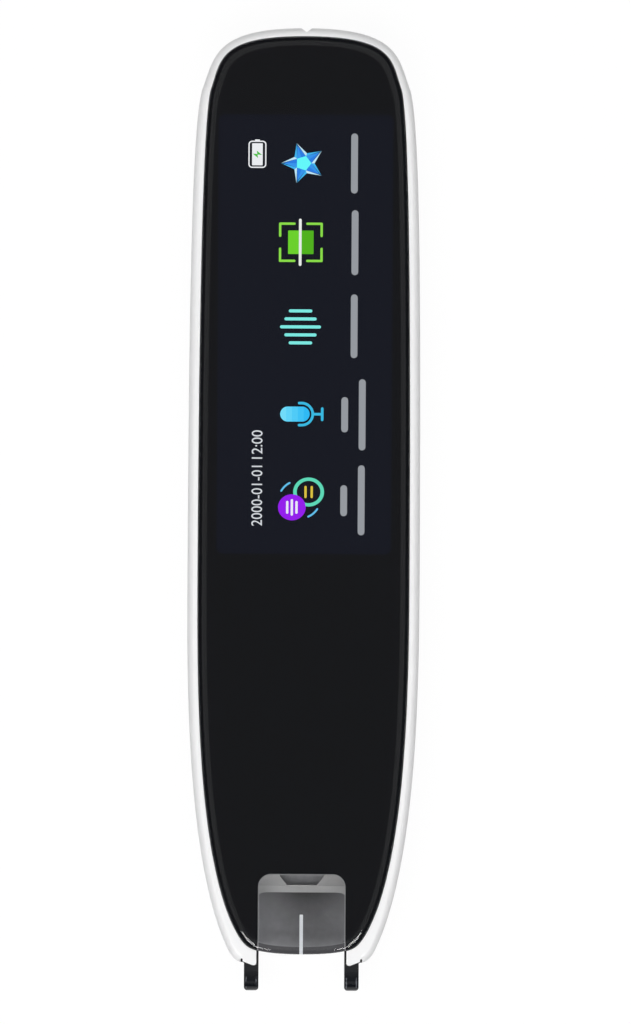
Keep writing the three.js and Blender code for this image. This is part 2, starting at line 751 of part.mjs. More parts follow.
function lampBoard() {
  const half = hoodInner - seatFit / 2;
  const ends = [lampBoardY, lampBoardY + lampBoardThickness];
  const plate = box([-half, half], ends, [hoodFloorZ, cameraZ + cameraSize / 2]);
  const reach = [lampBoardY - overrun, lampBoardY + overrun];
  const room = barrelRadius + runFit;
  return cutBy(plate, [
    bar([0, reach[0], cameraZ], [0, reach[1], cameraZ], room, boreSides),
    box([-room, room], reach, [cameraZ, topZ]),
  ]);
}

// Lens barrel and its glass, turned about the camera's axis
function turned(profile, frontY) {
  const points = profile.map(([radius, along]) => new THREE.Vector2(radius, along));
  const geometry = new THREE.LatheGeometry(points, boreSides);
  return toSolid(geometry.translate(0, frontY, 0)).translate([0, 0, cameraZ]);
}

const lensBarrel = () => turned([
  [0, barrelRecess], [barrelRadius - barrelRim, barrelRecess], [barrelRadius - barrelRim, 0],
  [barrelRadius, 0], [barrelRadius, barrelLength], [0, barrelLength],
], cameraY - barrelLength);

const lensGlass = () => turned([
  [0, barrelRecess - lensBulge], [(barrelRadius - barrelRim) / 2, barrelRecess - lensBulge * 3 / 4],
  [barrelRadius - barrelRim - runFit, barrelRecess - lensBulge / 4],
  [barrelRadius - barrelRim - runFit, barrelRecess], [0, barrelRecess],
], cameraY - barrelLength);

function cameraModule() {
  const half = cameraSize / 2;
  return box([-half, half], [cameraY, sensorBoardY], [hoodFloorZ, hoodFloorZ + cameraSize]);
}

function cameraBoard() {
  const half = sensorBoardWidth / 2;
  const ends = [sensorBoardY, sensorBoardY + sensorBoardThickness];
  return box([-half, half], ends, [hoodFloorZ, hoodFloorZ + cameraSize]);
}

// Scan fork: two legs, a cross bridge and the spigots that hold the springs
function scanFork() {
  const stepY = mouthY + legStep;
  const shape = new THREE.Shape();
  shape.moveTo(legInner, footY + footRound);
  shape.absarc(legInner + footRound, footY + footRound, footRound, Math.PI, Math.PI * 3 / 2);
  shape.absarc(legOuter - footRound, footY + footRound, footRound, -Math.PI / 2, 0);
  shape.lineTo(legOuter, bridgeEndY);
  shape.lineTo(-legOuter, bridgeEndY);
  shape.absarc(footRound - legOuter, footY + footRound, footRound, Math.PI, Math.PI * 3 / 2);
  shape.absarc(-legInner - footRound, footY + footRound, footRound, -Math.PI / 2, 0);
  for (const [x, y] of [
    [-legInner, stepY], [-legSlimInner, stepY], [-legSlimInner, bridgeY], [legSlimInner, bridgeY],
    [legSlimInner, stepY], [legInner, stepY],
  ]) {
    shape.lineTo(x, y);
  }
  shape.closePath();
  const plan = slab(shape, [forkZ, forkTopZ]);
  const side = new THREE.Shape();
  side.moveTo(footY, forkZ + footSkid);
  side.absarc(footY + footSkid, forkZ + footSkid, footSkid, Math.PI, Math.PI * 3 / 2);
  side.lineTo(bridgeEndY, forkZ);
  side.lineTo(bridgeEndY, forkTopZ);
  side.absarc(footY + footSkid, forkTopZ - footSkid, footSkid, Math.PI / 2, Math.PI);
  side.closePath();
  const body = plan.intersect(sidePush(side, [-legOuter, legOuter]));
  const spigots = [-springOffset, springOffset].map((x) => (
    bar([x, bridgeEndY - weld, forkMidZ], [x, bridgeEndY + spigotLength, forkMidZ], spigotRadius)));
  return joined([body, ...spigots]);
}

// Return spring: one wire along a helix whose ends run straight for a wire's thickness
const springEnds = springWire;
const springSteps = 8;
const wireSides = 5;

class SpringCurve extends THREE.Curve {
  constructor(middle) {
    super();
    this.middle = middle;
  }

  getPoint(t, target = new THREE.Vector3()) {
    const share = springEnds / springLength;
    const turn = THREE.MathUtils.clamp((t - share) / (1 - 2 * share), 0, 1) * springCurls * 2 * Math.PI;
    const radius = springRadius - springWire / 2;
    return target.set(
      this.middle + radius * Math.cos(turn), springY + t * springLength, forkMidZ + radius * Math.sin(turn),
    );
  }
}

function coilSpring(middle) {
  const curve = new SpringCurve(middle);
  const rings = springCurls * springSteps + 2;
  const positions = [];
  const index = [];
  for (let i = 0; i <= rings; i += 1) {
    const t = i === 0 ? 0 : i === rings ? 1
      : (springEnds + (springLength - 2 * springEnds) * (i - 1) / (rings - 2)) / springLength;
    const centre = curve.getPoint(t);
    const outward = new THREE.Vector3(centre.x - middle, 0, centre.z - forkMidZ).normalize();
    const straightEnd = i === 0 || i === rings;
    const round = straightEnd ? new THREE.Vector3() : new THREE.Vector3(-outward.z, 0, outward.x);
    const climb = (springLength - 2 * springEnds) / (springCurls * 2 * Math.PI);
    const radius = springRadius - springWire / 2;
    const along = round.multiplyScalar(radius).add(new THREE.Vector3(0, climb, 0)).normalize();
    const side = new THREE.Vector3().crossVectors(outward, along);
    for (let k = 0; k < wireSides; k += 1) {
      const angle = k / wireSides * 2 * Math.PI;
      const point = centre.clone().addScaledVector(outward, springWire / 2 * Math.cos(angle));
      positions.push(...point.addScaledVector(side, springWire / 2 * Math.sin(angle)).toArray());
    }
  }
  for (let i = 0; i < rings; i += 1) {
    for (let k = 0; k < wireSides; k += 1) {
      const a = i * wireSides + k;
      const b = i * wireSides + (k + 1) % wireSides;
      index.push(a, a + wireSides, b, b, a + wireSides, b + wireSides);
    }
  }
  const last = rings * wireSides;
  for (let k = 1; k + 1 < wireSides; k += 1) {
    index.push(0, k, k + 1, last, last + k + 1, last + k);
  }
  const geometry = new THREE.BufferGeometry();
  geometry.setAttribute('position', new THREE.Float32BufferAttribute(positions, 3));
  geometry.setIndex(index);
  return toSolid(geometry);
}

// Least gap between one turn of the spring and the next, measured on points along it
function springGap() {
  const curve = new SpringCurve(0);
  const count = springCurls * springSteps * springSteps;
  const points = Array.from({ length: count + 1 }, (_, i) => curve.getPoint(i / count));
  const apart = springSteps * springSteps / 2;
  let least = Infinity;
  for (let i = 0; i < points.length; i += 1) {
    for (let j = i + apart; j < points.length; j += 1) {
      least = Math.min(least, points[i].distanceTo(points[j]) - springWire);
    }
  }
  return least;
}

// Boards and what is soldered to them
function mainBoard() {
  const plate = box([-boardHalf, boardHalf], [boardNoseY, boardEndY], [boardZ, boardTopZ]);
  const tongueEnd = boardNoseY + weld;
  const tongue = box([-tongueHalf, tongueHalf], [tongueY, tongueEnd], [boardZ, boardTopZ]);
  const cutters = framePlaces.map(([x, y]) => bar([x, y, 0], [x, y, topZ], bossRadius + weld + seatFit));
  cutters.push(...boardPlaces.map(([x, y]) => bar([x, y, 0], [x, y, topZ], boreRadius)));
  const notchY = [jackY - jackWidth / 2 - seatFit, jackY + jackWidth / 2 + seatFit];
  cutters.push(box([jackX, jackX + jackLength + seatFit], notchY, [0, topZ]));
  return cutBy(plate.add(tongue), cutters);
}

function onBoard(width, ends, height, middle = 0) {
  return box([middle - width / 2, middle + width / 2], ends, [boardTopZ, boardTopZ + height]);
}

function underBoard(width, ends, height) {
  return box([-width / 2, width / 2], ends, [boardZ - height, boardZ]);
}

const plungerDepth = plungerSink + forkTravel;
const tipPlungerY = bridgeEndY + runFit;
const tipPlungerEndY = tipSwitchY + plungerSink;

function tipSwitch() {
  const body = onBoard(tipSwitchWidth, [tipSwitchY, tipSwitchY + tipSwitchLength], tipSwitchHeight);
  const half = plungerSize / 2 + runFit;
  const z = boardTopZ + tipSwitchHeight / 2;
  const pocketEnds = [tipSwitchY - overrun, tipSwitchY + plungerDepth + runFit];
  return body.subtract(box([-half, half], pocketEnds, [z - half, z + half]));
}

function tipPlunger() {
  const z = boardTopZ + tipSwitchHeight / 2;
  const half = plungerSize / 2;
  return box([-half, half], [tipPlungerY, tipPlungerEndY], [z - half, z + half]);
}

// Power key: cap in its slot, flange behind the wall, stem to the switch
const keyWallX = innerX(keyY, keyZ - keyHeight / 2);
const keyFaceX = outerX(keyY, keyZ) + keyProud;
const keyFlangeX = keyWallX - seatFit - keyFlangeThickness;
const keySwitchEndX = boardHalf - seatFit;
const keyPlungerZ = boardTopZ + keySwitchHeight / 2;
const keyPlungerHalf = keySwitchHeight / 2 - runFit - seatFit / 2;
const keyPlungerEndX = keyFlangeX - keyStem / 2;

function powerButton() {
  const cap = sidePush(keyOutline(0), [keyFlangeX, keyFaceX]);
  const flangeY = [keyY - keyLength / 2 - keyFlange, keyY + keyLength / 2 + keyFlange];
  const flangeZ = [keyZ - keyHeight / 2, keyZ + keyHeight / 2];
  const flange = box([keyFlangeX, keyFlangeX + keyFlangeThickness], flangeY, flangeZ);
  const stem = box([keyPlungerEndX, keyFlangeX + weld], [keyY - keyStem / 2, keyY + keyStem / 2],
    [keyZ - keyHeight / 4, keyZ + keyHeight / 4]);
  return joined([cap, flange, stem]);
}

function powerSwitch() {
  const ends = [keyY - keySwitchLength / 2, keyY + keySwitchLength / 2];
  const startX = keySwitchEndX - keySwitchWidth;
  const body = box([startX, keySwitchEndX], ends, [boardTopZ, boardTopZ + keySwitchHeight]);
  const half = keyPlungerHalf + runFit;
  const depth = plungerSink + keyTravel + runFit;
  const pocket = box([keySwitchEndX - depth, keySwitchEndX + overrun], [keyY - half, keyY + half],
    [keyPlungerZ - half, keyPlungerZ + half]);
  return body.subtract(pocket);
}

function powerPlunger() {
  const half = keyPlungerHalf;
  return box([keySwitchEndX - plungerSink, keyPlungerEndX], [keyY - half, keyY + half],
    [keyPlungerZ - half, keyPlungerZ + half]);
}

// Charging socket: bored block at the board's left edge with its centre pin
function dcSocket() {
  const block = box(
    [jackX, jackX + jackLength], [jackY - jackWidth / 2, jackY + jackWidth / 2],
    [jackZ - jackHeight / 2, jackZ + jackHeight / 2],
  );
  const nose = bar([jackNoseX, jackY, jackZ], [jackX + weld, jackY, jackZ], jackNose, boreSides);
  const boreEnds = [jackNoseX - overrun, jackNoseX + jackDepth];
  const bore = bar([boreEnds[0], jackY, jackZ], [boreEnds[1], jackY, jackZ], jackBore, boreSides);
  const seatEnd = jackX + jackLength + overrun;
  const seat = bar([jackX, jackY, jackZ], [seatEnd, jackY, jackZ], jackPin + runFit / 2);
  return cutBy(block.add(nose), [bore, seat]);
}

function socketPin() {
  return bar([jackNoseX + seatFit, jackY, jackZ], [jackX + jackLength, jackY, jackZ], jackPin);
}

// A pan-head screw standing on its seat, pointing down
function screw([x, y], seatZ, length) {
  const profile = [
    [0, seatZ - length], [screwRadius, seatZ - length], [screwRadius, seatZ],
    [screwHeadRadius, seatZ], [screwHeadRadius - screwRadius / 2, seatZ + screwHeadHeight],
    [0, seatZ + screwHeadHeight],
  ];
  const geometry = new THREE.LatheGeometry(profile.map(([r, z]) => new THREE.Vector2(r, z)), screwSides);
  const upright = new THREE.Matrix4().makeRotationX(Math.PI / 2);
  return toSolid(geometry.applyMatrix4(upright).translate(x, y, 0));
}

// A flat ribbon whose side view is a thin band along a smooth line
function ribbon(path, width, middle = 0) {
  const line = new THREE.SplineCurve(path.map(([y, z]) => new THREE.Vector2(y, z)));
  const points = line.getPoints(path.length * filletSteps);
  const offset = (sign) => points.map((point, i) => {
    const ahead = points[Math.min(i + 1, points.length - 1)];
    const behind = points[Math.max(i - 1, 0)];
    const along = ahead.clone().sub(behind).normalize();
    const normal = new THREE.Vector2(-along.y, along.x);
    return point.clone().addScaledVector(normal, sign * flexThickness / 2);
  });
  const band = new THREE.Shape([...offset(-1), ...offset(1).reverse()]);
  return sidePush(band, [middle - width / 2, middle + width / 2]);
}

function wire(points) {
  const places = points.map((point) => new THREE.Vector3(...point));
  const path = new THREE.CatmullRomCurve3(places, false, 'centripetal');
  const section = new THREE.Shape().absarc(0, 0, leadRadius, 0, 2 * Math.PI);
  const steps = points.length * leadSteps;
  const options = { steps, extrudePath: path, bevelEnabled: false, curveSegments: wireSteps };
  return toSolid(new THREE.ExtrudeGeometry(section, options));
}

add('front_frame', frontFrame(), whiteShell);
add('back_cover', backCover(), whiteShell);
add('cover_glass', coverGlass(), glassClear);
add('ink_mask', inkMask(), inkBlack);
add('aim_line', aimLine(), aimWhite);
add('glass_gasket', glassGasket(), rubberBlack);

const panelHalf = displayWidth / 2 + panelMargin;
const panelEnds = [displayY - driverMargin, displayEndY + panelMargin];
add('touch_panel', box([-panelHalf, panelHalf], panelEnds, [touchZ, inkZ]), panelDark);
add('lcd_panel', box([-panelHalf, panelHalf], panelEnds, [panelZ, touchZ]), panelDark);

add('scan_hood', scanHood(), darkPlastic);
add('light_diffuser', lightDiffuser(), greyPlastic);
add('lamp_board', lampBoard(), boardGreen);
lampBoxes(0).forEach((lamp, i) => add(['lamp_left', 'lamp_right'][i], lamp, lampYellow));
add('lens_barrel', lensBarrel(), darkPlastic);
add('lens_glass', lensGlass(), glassClear);
add('camera_module', cameraModule(), darkPlastic);
add('camera_board', cameraBoard(), boardGreen);

add('scan_fork', scanFork(), blackGloss);
add('fork_spring_left', coilSpring(-springOffset), steel);
add('fork_spring_right', coilSpring(springOffset), steel);
console.log(`Least gap between the turns of a fork spring: ${springGap().toFixed(2)} mm`);
add('tip_switch', tipSwitch(), darkPlastic);
add('tip_plunger', tipPlunger(), greyPlastic);

add('main_board', mainBoard(), boardGreen);
const cameraPlugY = boardNoseY + runFit;
const cameraPlugEnds = [cameraPlugY, cameraPlugY + connectorLength];
add('camera_connector', onBoard(connectorWidth, cameraPlugEnds, connectorHeight), darkPlastic);
const displayPlugY = displayY - driverMargin - flexWidth - connectorLength;
const displayPlugEnds = [displayPlugY, displayPlugY + connectorLength];
add('display_connector', onBoard(connectorWidth, displayPlugEnds, connectorHeight), darkPlastic);
const shieldY = boardNoseY + shieldStart + micInset;
add('processor_shield', underBoard(shieldWidth, [shieldY, shieldY + shieldLength], shieldHeight), steel);
const radioY = shieldY + shieldLength + rowGap;
add('radio_shield', underBoard(radioWidth, [radioY, radioY + radioLength], shieldHeight), steel);
add('microphone', underBoard(micWidth, [micY - micLength / 2, micY + micLength / 2], micHeight), steel);
const bootZ = [backWall, boardZ - micHeight];
const boot = bar([0, micY, bootZ[0]], [0, micY, bootZ[1]], bootRadius);
add('mic_boot', boot.subtract(bar([0, micY, 0], [0, micY, boardZ], micHole)), rubberBlack);

add('power_button', powerButton(), whiteKey);
add('power_plunger', powerPlunger(), greyPlastic);
add('power_switch', powerSwitch(), darkPlastic);
add('dc_socket', dcSocket(), darkPlastic);
add('socket_pin', socketPin(), gold);

const cellEnds = [cellY + guardLength + seatFit, cellEndY];
const cellShape = roundedRectangle([-cellHalf, cellHalf], cellEnds, cellCorner);
add('battery_cell', slab(cellShape, [cellZ, cellZ + cellThickness]), cellFoil);
const guardZ = cellZ + (cellThickness - guardThickness) / 2;
const guard = box(
  [-guardWidth / 2, guardWidth / 2], [cellY, cellY + guardLength], [guardZ, guardZ + guardThickness],
);
add('battery_guard', guard, boardGreen);
const plugEndY = boardEndY - rowGap;
const plugEnds = [plugEndY - connectorLength, plugEndY];
add('battery_plug', onBoard(connectorLength, plugEnds, connectorHeight, plugX), whiteKey);

// The battery's pair of leads, easing from the plug's height down to the guard's
for (const [color, side, material] of [['red', 1, wireRed], ['black', -1, wireBlack]]) {
  const x = plugX + side * leadPitch / 2;
  const startZ = boardTopZ + connectorHeight / 2;
  const endZ = guardZ + guardThickness / 2;
  const [startY, endY] = [plugEndY + runFit, cellY - runFit];
  const path = [0, 1 / 3, 2 / 3, 1].map((t) => {
    const eased = THREE.MathUtils.smoothstep(t, 0, 1);
    return [x, THREE.MathUtils.lerp(startY, endY, t), THREE.MathUtils.lerp(startZ, endZ, eased)];
  });
  add(`battery_lead_${color}`, wire(path), material);
}

// Loudspeaker over its slots, with the dust mesh, the cone and its two wires
const speakerZ = backWall + meshThickness;
const speakerMidY = (speakerY + speakerEndY) / 2;
const speakerShape = roundedRectangle(
  [-speakerWidth / 2, speakerWidth / 2], [speakerY, speakerEndY], speakerCorner,
);
const coneShape = (grow) => roundedRectangle(
  [-coneWidth / 2 - grow, coneWidth / 2 + grow],
  [speakerMidY - coneLength / 2 - grow, speakerMidY + coneLength / 2 + grow], coneCorner + grow,
);
const coneHole = slab(coneShape(seatFit), [0, speakerZ + coneDepth]);
add('loudspeaker', slab(speakerShape, [speakerZ, speakerZ + speakerHeight]).subtract(coneHole), darkPlastic);
add('speaker_cone', slab(coneShape(0), [speakerZ + coneBulge, speakerZ + coneDepth]), rubberBlack);
const meshShape = roundedRectangle(
  [meshMargin - speakerWidth / 2, speakerWidth / 2 - meshMargin],
  [speakerY + meshMargin, speakerEndY - meshMargin], speakerCorner,
);
add('speaker_mesh', slab(meshShape, [backWall, speakerZ]), steel);

const wireZ = plateZ - leadPitch - seatFit - leadRadius / 2;
const wireX = (bossX + bossRadius + innerX(tailRowY, wireZ)) / 2;
for (const [color, level, material] of [['red', 1, wireRed], ['black', -1, wireBlack]]) {
  const z = wireZ + level * leadPitch / 2;
  const padZ = boardTopZ + leadRadius + runFit;
  const padY = boardEndY - leadPitch * (level + 2);
  const startX = speakerWidth / 2 + seatFit;
  const startY = speakerMidY + level * leadPitch;
  add(`speaker_lead_${color}`, wire([
    [startX, startY, z], [startX + leadRadius, startY, z], [wireX - leadPitch, speakerY, z],
    [wireX, tailRowY, z], [wireX, cellEndY, z], [wireX, cellY, z],
    [wireX, midRowY, z], [wireX, boardEndY, z], [wireX - leadPitch, padY, padZ],
  ]), material);
}

// Ribbons: from the camera over the fork's bridge, and from the display down through the plate
const flexZ = forkTopZ + seatFit + flexThickness;
const plugTopZ = boardTopZ + connectorHeight + runFit + flexThickness;
add('camera_flex', ribbon([
  [sensorBoardY + sensorBoardThickness + runFit, flexZ], [hoodScrewY, flexZ], [bridgeEndY, flexZ],
  [tipSwitchY + tipSwitchLength + seatFit, flexZ], [boardNoseY, plugTopZ + seatFit],
  [cameraPlugEnds[1], plugTopZ],
], flexWidth), flexBrown);
const tailFlexZ = panelZ + flexThickness;
add('display_flex', ribbon([
  [displayY - driverMargin - runFit, tailFlexZ], [displayY - driverMargin - flexWidth / 3, tailFlexZ],
  [displayPlugEnds[1] + flexWidth / 4, (tailFlexZ + plugTopZ) / 2], [displayPlugEnds[1], plugTopZ],
  [displayPlugEnds[0], plugTopZ],
], flexWidth), flexBrown);
const aerialEnds = [plateY + aerialInset, plateY + aerialInset + aerialLength];
const aerial = box([aerialEndX - aerialWidth, aerialEndX], aerialEnds, [plateZ - aerialThickness, plateZ]);
add('wifi_aerial', aerial, flexBrown);

// Screws: six hold the frame on the cover, two the main board, two the scan hood
for (const [name, places, seatZ, endZ] of [
  ['frame', framePlaces, headSeatZ, headSeatZ - screwLength + seatFit],
  ['board', boardPlaces, boardTopZ, backWall + seatFit],
  ['hood', hoodPlaces, hoodFloorZ, backWall + seatFit],
]) {
  places.forEach((place, i) => add(`${name}_screw_${i + 1}`, screw(place, seatZ, seatZ - endZ), steel));
}

export default pen;
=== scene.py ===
import json
import math
from dataclasses import dataclass

import bpy
from mathutils import Matrix, Vector


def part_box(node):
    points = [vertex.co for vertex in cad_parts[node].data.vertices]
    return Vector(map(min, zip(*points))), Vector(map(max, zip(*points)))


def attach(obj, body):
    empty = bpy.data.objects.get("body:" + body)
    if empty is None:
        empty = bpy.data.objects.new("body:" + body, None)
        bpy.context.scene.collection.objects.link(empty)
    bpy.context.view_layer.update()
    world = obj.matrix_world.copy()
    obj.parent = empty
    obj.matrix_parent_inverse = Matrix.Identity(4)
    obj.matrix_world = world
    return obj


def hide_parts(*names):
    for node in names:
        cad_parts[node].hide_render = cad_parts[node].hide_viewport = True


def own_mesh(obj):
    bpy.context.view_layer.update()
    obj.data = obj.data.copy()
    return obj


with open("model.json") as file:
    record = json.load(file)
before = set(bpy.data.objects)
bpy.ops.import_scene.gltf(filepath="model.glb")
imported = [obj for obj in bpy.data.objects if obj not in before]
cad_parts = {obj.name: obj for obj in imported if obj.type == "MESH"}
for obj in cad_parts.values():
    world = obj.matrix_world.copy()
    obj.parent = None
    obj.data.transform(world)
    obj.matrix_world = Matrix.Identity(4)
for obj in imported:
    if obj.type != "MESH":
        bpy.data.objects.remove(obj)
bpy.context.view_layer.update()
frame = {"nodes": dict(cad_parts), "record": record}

MM = 0.001
QUARTER = math.pi / 2


def corners(node):
    """The lowest and highest corner of a CAD node, in millimetres."""
    return [Vector(corner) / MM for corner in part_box(node)]


# Sizes in millimetres that the solids' boxes don't give, as the part's source has them
LEG_REACH = 3.82
NOSE_LENGTH = 62.05
GLASS_NOSE = 59.92
CROWN_LENGTH = 9.67
GLASS_CROWN = 8.45
SIDE_WALL = 1.5
LIP_FIT = 0.3
SEAT_FIT = 0.3
RUN_FIT = 0.2
INK_INSET = 0.15
LEDGE_WIDTH = 1.6
BACK_ROUND = 7.5
INNER_ROUND = 5
END_ROUND_SHARE = 0.55
NOSE_RISE = 1.5
RISE_LENGTH = 29
SEAM_CHAMFER = 0.15
AERIAL_INSET = 1
WINDOW_HALF = 7
WINDOW_CORNER = 2
PANEL_MARGIN = 1
DRIVER_MARGIN = 3
LEG_INNER = 6.93
LEG_STEP = 0.1
FOOT_ROUND = 0.6
FOOT_SKID = 1.7
BRIDGE_LENGTH = 3
SPIGOT_RADIUS = 0.9
SPIGOT_LENGTH = 1.5
RAIL_START = 4.3
RAIL_PITCH = 15
RAIL_LENGTH = 4
RAIL_WIDTH = 1.1
SPRING_WALL = 1.2
SPRING_WALL_HALF = 1.9
SPRING_WIRE = 0.5
SPRING_CURLS = 5
FORK_HEAD_FIT = 0.4
STRAP_RADIUS = 0.9
STRAP_INSET = 4.6
STRAP_HEIGHT = 3.4
STRAP_BLOCK_HALF = 3
STRAP_BLOCK_LENGTH = 6.8
GROOVE_HALF = 0.88
GROOVE_DEPTH = 0.68
MIC_HOLE = 0.5
SOCKET_HOLE = 1.55
SLOT_COUNT = 5
SLOT_PITCH = 2.2
SLOT_WIDTH = 1
SLOT_LENGTH = 6.4
POST_RADIUS = 2
BORE_RADIUS = 0.9
SCREW_HEAD = 1.5
SCREW_HEAD_HEIGHT = 0.8
SCREW_SINK = 0.1
SCREW_LENGTH = 4
SCOOP_SEAT = 0.92
SCOOP_LIP = 1.05
SCOOP_LIP_HEIGHT = 1.7
COVE_WIDTH = 1.7
COVE_LENGTH = 0.66
FUNNEL_WIDE = 3.55
FUNNEL_NARROW = 2.43
FUNNEL_START = 0.3
FUNNEL_LENGTH = 1.45
KEY_LENGTH = 8
KEY_FLANGE = 0.8
KEY_STEM = 2.4
BARREL_RIM = 0.5
BARREL_RECESS = 0.8
LENS_BULGE = 0.4
LENS_DOME = 0.3
LEAD_RADIUS = 0.45
LEAD_PITCH = 1.3

# Sizes of the detail that only the looks have
RIM_ROUND = 1.15
RIM_ROUND_HEIGHT = 1.8
EDGE_ROUND = 1.72
EDGE_DROP = 0.65
EDGE_REST = 0.04
TOE_HALF = 7.28
TOE_ROUND = 0.42
TOE_RISE = 0.32
TOE_SHADOW_SEAL = 0.2
TOE_SLANT = ((7.75, 0.3), (9.6, 1.02))
TOE_LENGTH = 3
NOTCH_X = 9.65
NOTCH_HALF = 0.17
NOTCH_DEPTH = 1.3
SHADE_JOINT_START = 0.82
SHADE_JOINT_TOP = 9.5
NOTCH_FLOOR = 5
POCKET_FIT = 0.06
POCKET_EDGE = 0.06
OUTER_EDGE = 0.15
MOULD_EDGE = 0.12
KEY_EDGE = 0.3
FORK_EDGE = 0.5
GASKET_RISE = 0.7
GASKET_LIP = 0.05
PRINT_SINK = 0.05
PRINT_RISE = 0.02
LAYER = 0.01
WINDOW_LINE = 0.14
PAINTED_EDGE_SHADE_WIDTH = 1.25
AIM_TRIM = 0.12
OVERRUN = 3
WELD = 0.2

# Smoothness of round stretches
CURVE_STEPS = 64
ROUND_STEPS = 14
EDGE_STEPS = 14
ARC_STEPS = 10
FORK_EDGE_STEPS = 6
ROD_SIDES = 40
WIRE_SIDES = 12
COIL_STEPS = 24
LEAD_STEPS = 10
SHARP_ANGLE = 35

# Half outlines as shares, the same as the solids': the nose, the crown and the flank between them
BODY_NOSE_SHARES = [
    (0, 0), (0.26, 0), (0.465, 0.005), (0.495, 0.011), (0.559, 0.015), (0.586, 0.022),
    (0.622, 0.0395), (0.994, 0.262), (1, 0.736), (1, 1),
]
BODY_CROWN_SHARES = [(0.89, 1), (0.79, 0.485), (0.798, 0), (0, 0)]
BODY_FLANK_SHARES = (0.897, 0.621)
GLASS_NOSE_SHARES = [
    (0, 0), (0.443, 0), (0.508, 0.0187), (0.545, 0.0304), (0.636, 0.059), (0.714, 0.123),
    (0.725, 0.132), (0.978, 0.35), (1, 0.699), (1, 1),
]
GLASS_CROWN_SHARES = [(0.897, 1), (0.805, 0.446), (0.824, 0), (0, 0)]
GLASS_FLANK_SHARES = (0.877, 0.524)

# Places taken from the solids
rim_low, rim_high = corners("front_frame")
glass_low, glass_high = corners("cover_glass")
fork_low, fork_high = corners("scan_fork")
hood_low, hood_high = corners("scan_hood")
scoop_low, scoop_high = corners("light_diffuser")
key_low, key_high = corners("power_button")
panel_low, panel_high = corners("lcd_panel")
speaker_low, speaker_high = corners("loudspeaker")
cell_low, cell_high = corners("battery_cell")

body_half = rim_high.x
tip_y = fork_low.y + LEG_REACH
tail_y = rim_high.y
mouth_y = hood_low.y - SEAT_FIT
plate_y = corners("wifi_aerial")[0].y - AERIAL_INSET
window_top_y = scoop_high.y - SCOOP_SEAT
back_wall = corners("mic_boot")[0].z
plate_z = corners("wifi_aerial")[1].z
plate_top_z = panel_low.z - SEAT_FIT
parting_z = corners("back_cover")[1].z
rim_z = rim_high.z
ledge_z = corners("glass_gasket")[0].z
ink_z = corners("ink_mask")[0].z
glass_z = glass_low.z
top_z = glass_high.z
picture_z = glass_z + PRINT_RISE
leg_room = fork_high.x + SEAT_FIT
hood_room = hood_high.x + RUN_FIT
through_z = (-OVERRUN, top_z + OVERRUN)


def bezier(start, leave, back, end, steps):
    """Points along a cubic curve, its start left out."""
    points = []
    for step in range(1, steps + 1):
        t = step / steps
        s = 1 - t
        points.append(s**3 * start + 3 * s * s * t * leave + 3 * s * t * t * back + t**3 * end)
    return points


def bend(start, turn, end):
    """Points along a quadratic curve."""
    start, turn, end = Vector(start), Vector(turn), Vector(end)
    shares = [step / ARC_STEPS for step in range(ARC_STEPS + 1)]
    return [(1 - t)**2 * start + 2 * t * (1 - t) * turn + t * t * end for t in shares]


@dataclass
class Outline:
    """A closed outline, tip to tail up the right side and mirrored down the left."""

    half: float
    start: float
    end: float
    points: list

    def ring(self, z, inset, end_inset=None):
        """The outline drawn in and set at a height, lifted at the nose as the back is."""
        middle = (self.start + self.end) / 2
        half_length = (self.end - self.start) / 2
        across = 1 - inset / self.half
        along = 1 - (inset if end_inset is None else end_inset) / half_length
        ring = []
        for point in self.points:
            y = middle + (point.y - middle) * along
            ring.append(Vector((point.x * across, y, z + nose_lift(y, z))))
        return ring


def nose_lift(y, z):
    into = max(0, tip_y + RISE_LENGTH - y) / RISE_LENGTH
    return NOSE_RISE * into**2 * max(0, 1 - z / parting_z)


def housing_outline(half, start, end, nose, crown, nose_shares, crown_shares, flank_shares):
    nodes = [Vector((x * half, start + y * nose)) for x, y in nose_shares]
    shoulder, *top = [Vector((x * half, end - y * crown)) for x, y in crown_shares]
    widest = nodes[-1]
    nodes.append(Vector((half, widest.y + flank_shares[1] * (shoulder.y - widest.y))))
    nodes.append(shoulder + (shoulder - top[0]) * flank_shares[0])
    nodes += [shoulder, *top]
    right = [nodes[0]]
    for i in range(0, len(nodes) - 3, 3):
        right += bezier(*nodes[i:i + 4], CURVE_STEPS)
    left = [Vector((-point.x, point.y)) for point in reversed(right[1:-1])]
    return Outline(half, start, end, right + left)


body = housing_outline(
    body_half, tip_y, tail_y, NOSE_LENGTH, CROWN_LENGTH,
    BODY_NOSE_SHARES, BODY_CROWN_SHARES, BODY_FLANK_SHARES,
)
pane = housing_outline(
    glass_high.x, glass_low.y, glass_high.y, GLASS_NOSE, GLASS_CROWN,
    GLASS_NOSE_SHARES, GLASS_CROWN_SHARES, GLASS_FLANK_SHARES,
)


# Mesh tools: lengths are millimetres until the mesh is made


def new_object(name, data):
    obj = bpy.data.objects.new(name, data)
    bpy.context.collection.objects.link(obj)
    return obj


def mesh_object(name, vertices, faces, slots=None):
    mesh = bpy.data.meshes.new(name)
    mesh.from_pydata([tuple(Vector(vertex) * MM) for vertex in vertices], [], faces)
    if slots:
        mesh.polygons.foreach_set("material_index", slots)
    mesh.update()
    return new_object(name, mesh)


def bands(rows, sides):
    """The faces between rings of equal count, ring by ring."""
    faces = []
    for start in range(0, (rows - 1) * sides, sides):
        for k in range(sides):
            a, b = start + k, start + (k + 1) % sides
            faces.append((a, b, b + sides, a + sides))
    return faces


def skin(name, vertices, sides):
    """Joins rings of equal count into a closed mesh."""
    last = len(vertices) - sides
    faces = bands(len(vertices) // sides, sides)
    return mesh_object(name, vertices, [range(sides)[::-1], *faces, range(last, last + sides)])


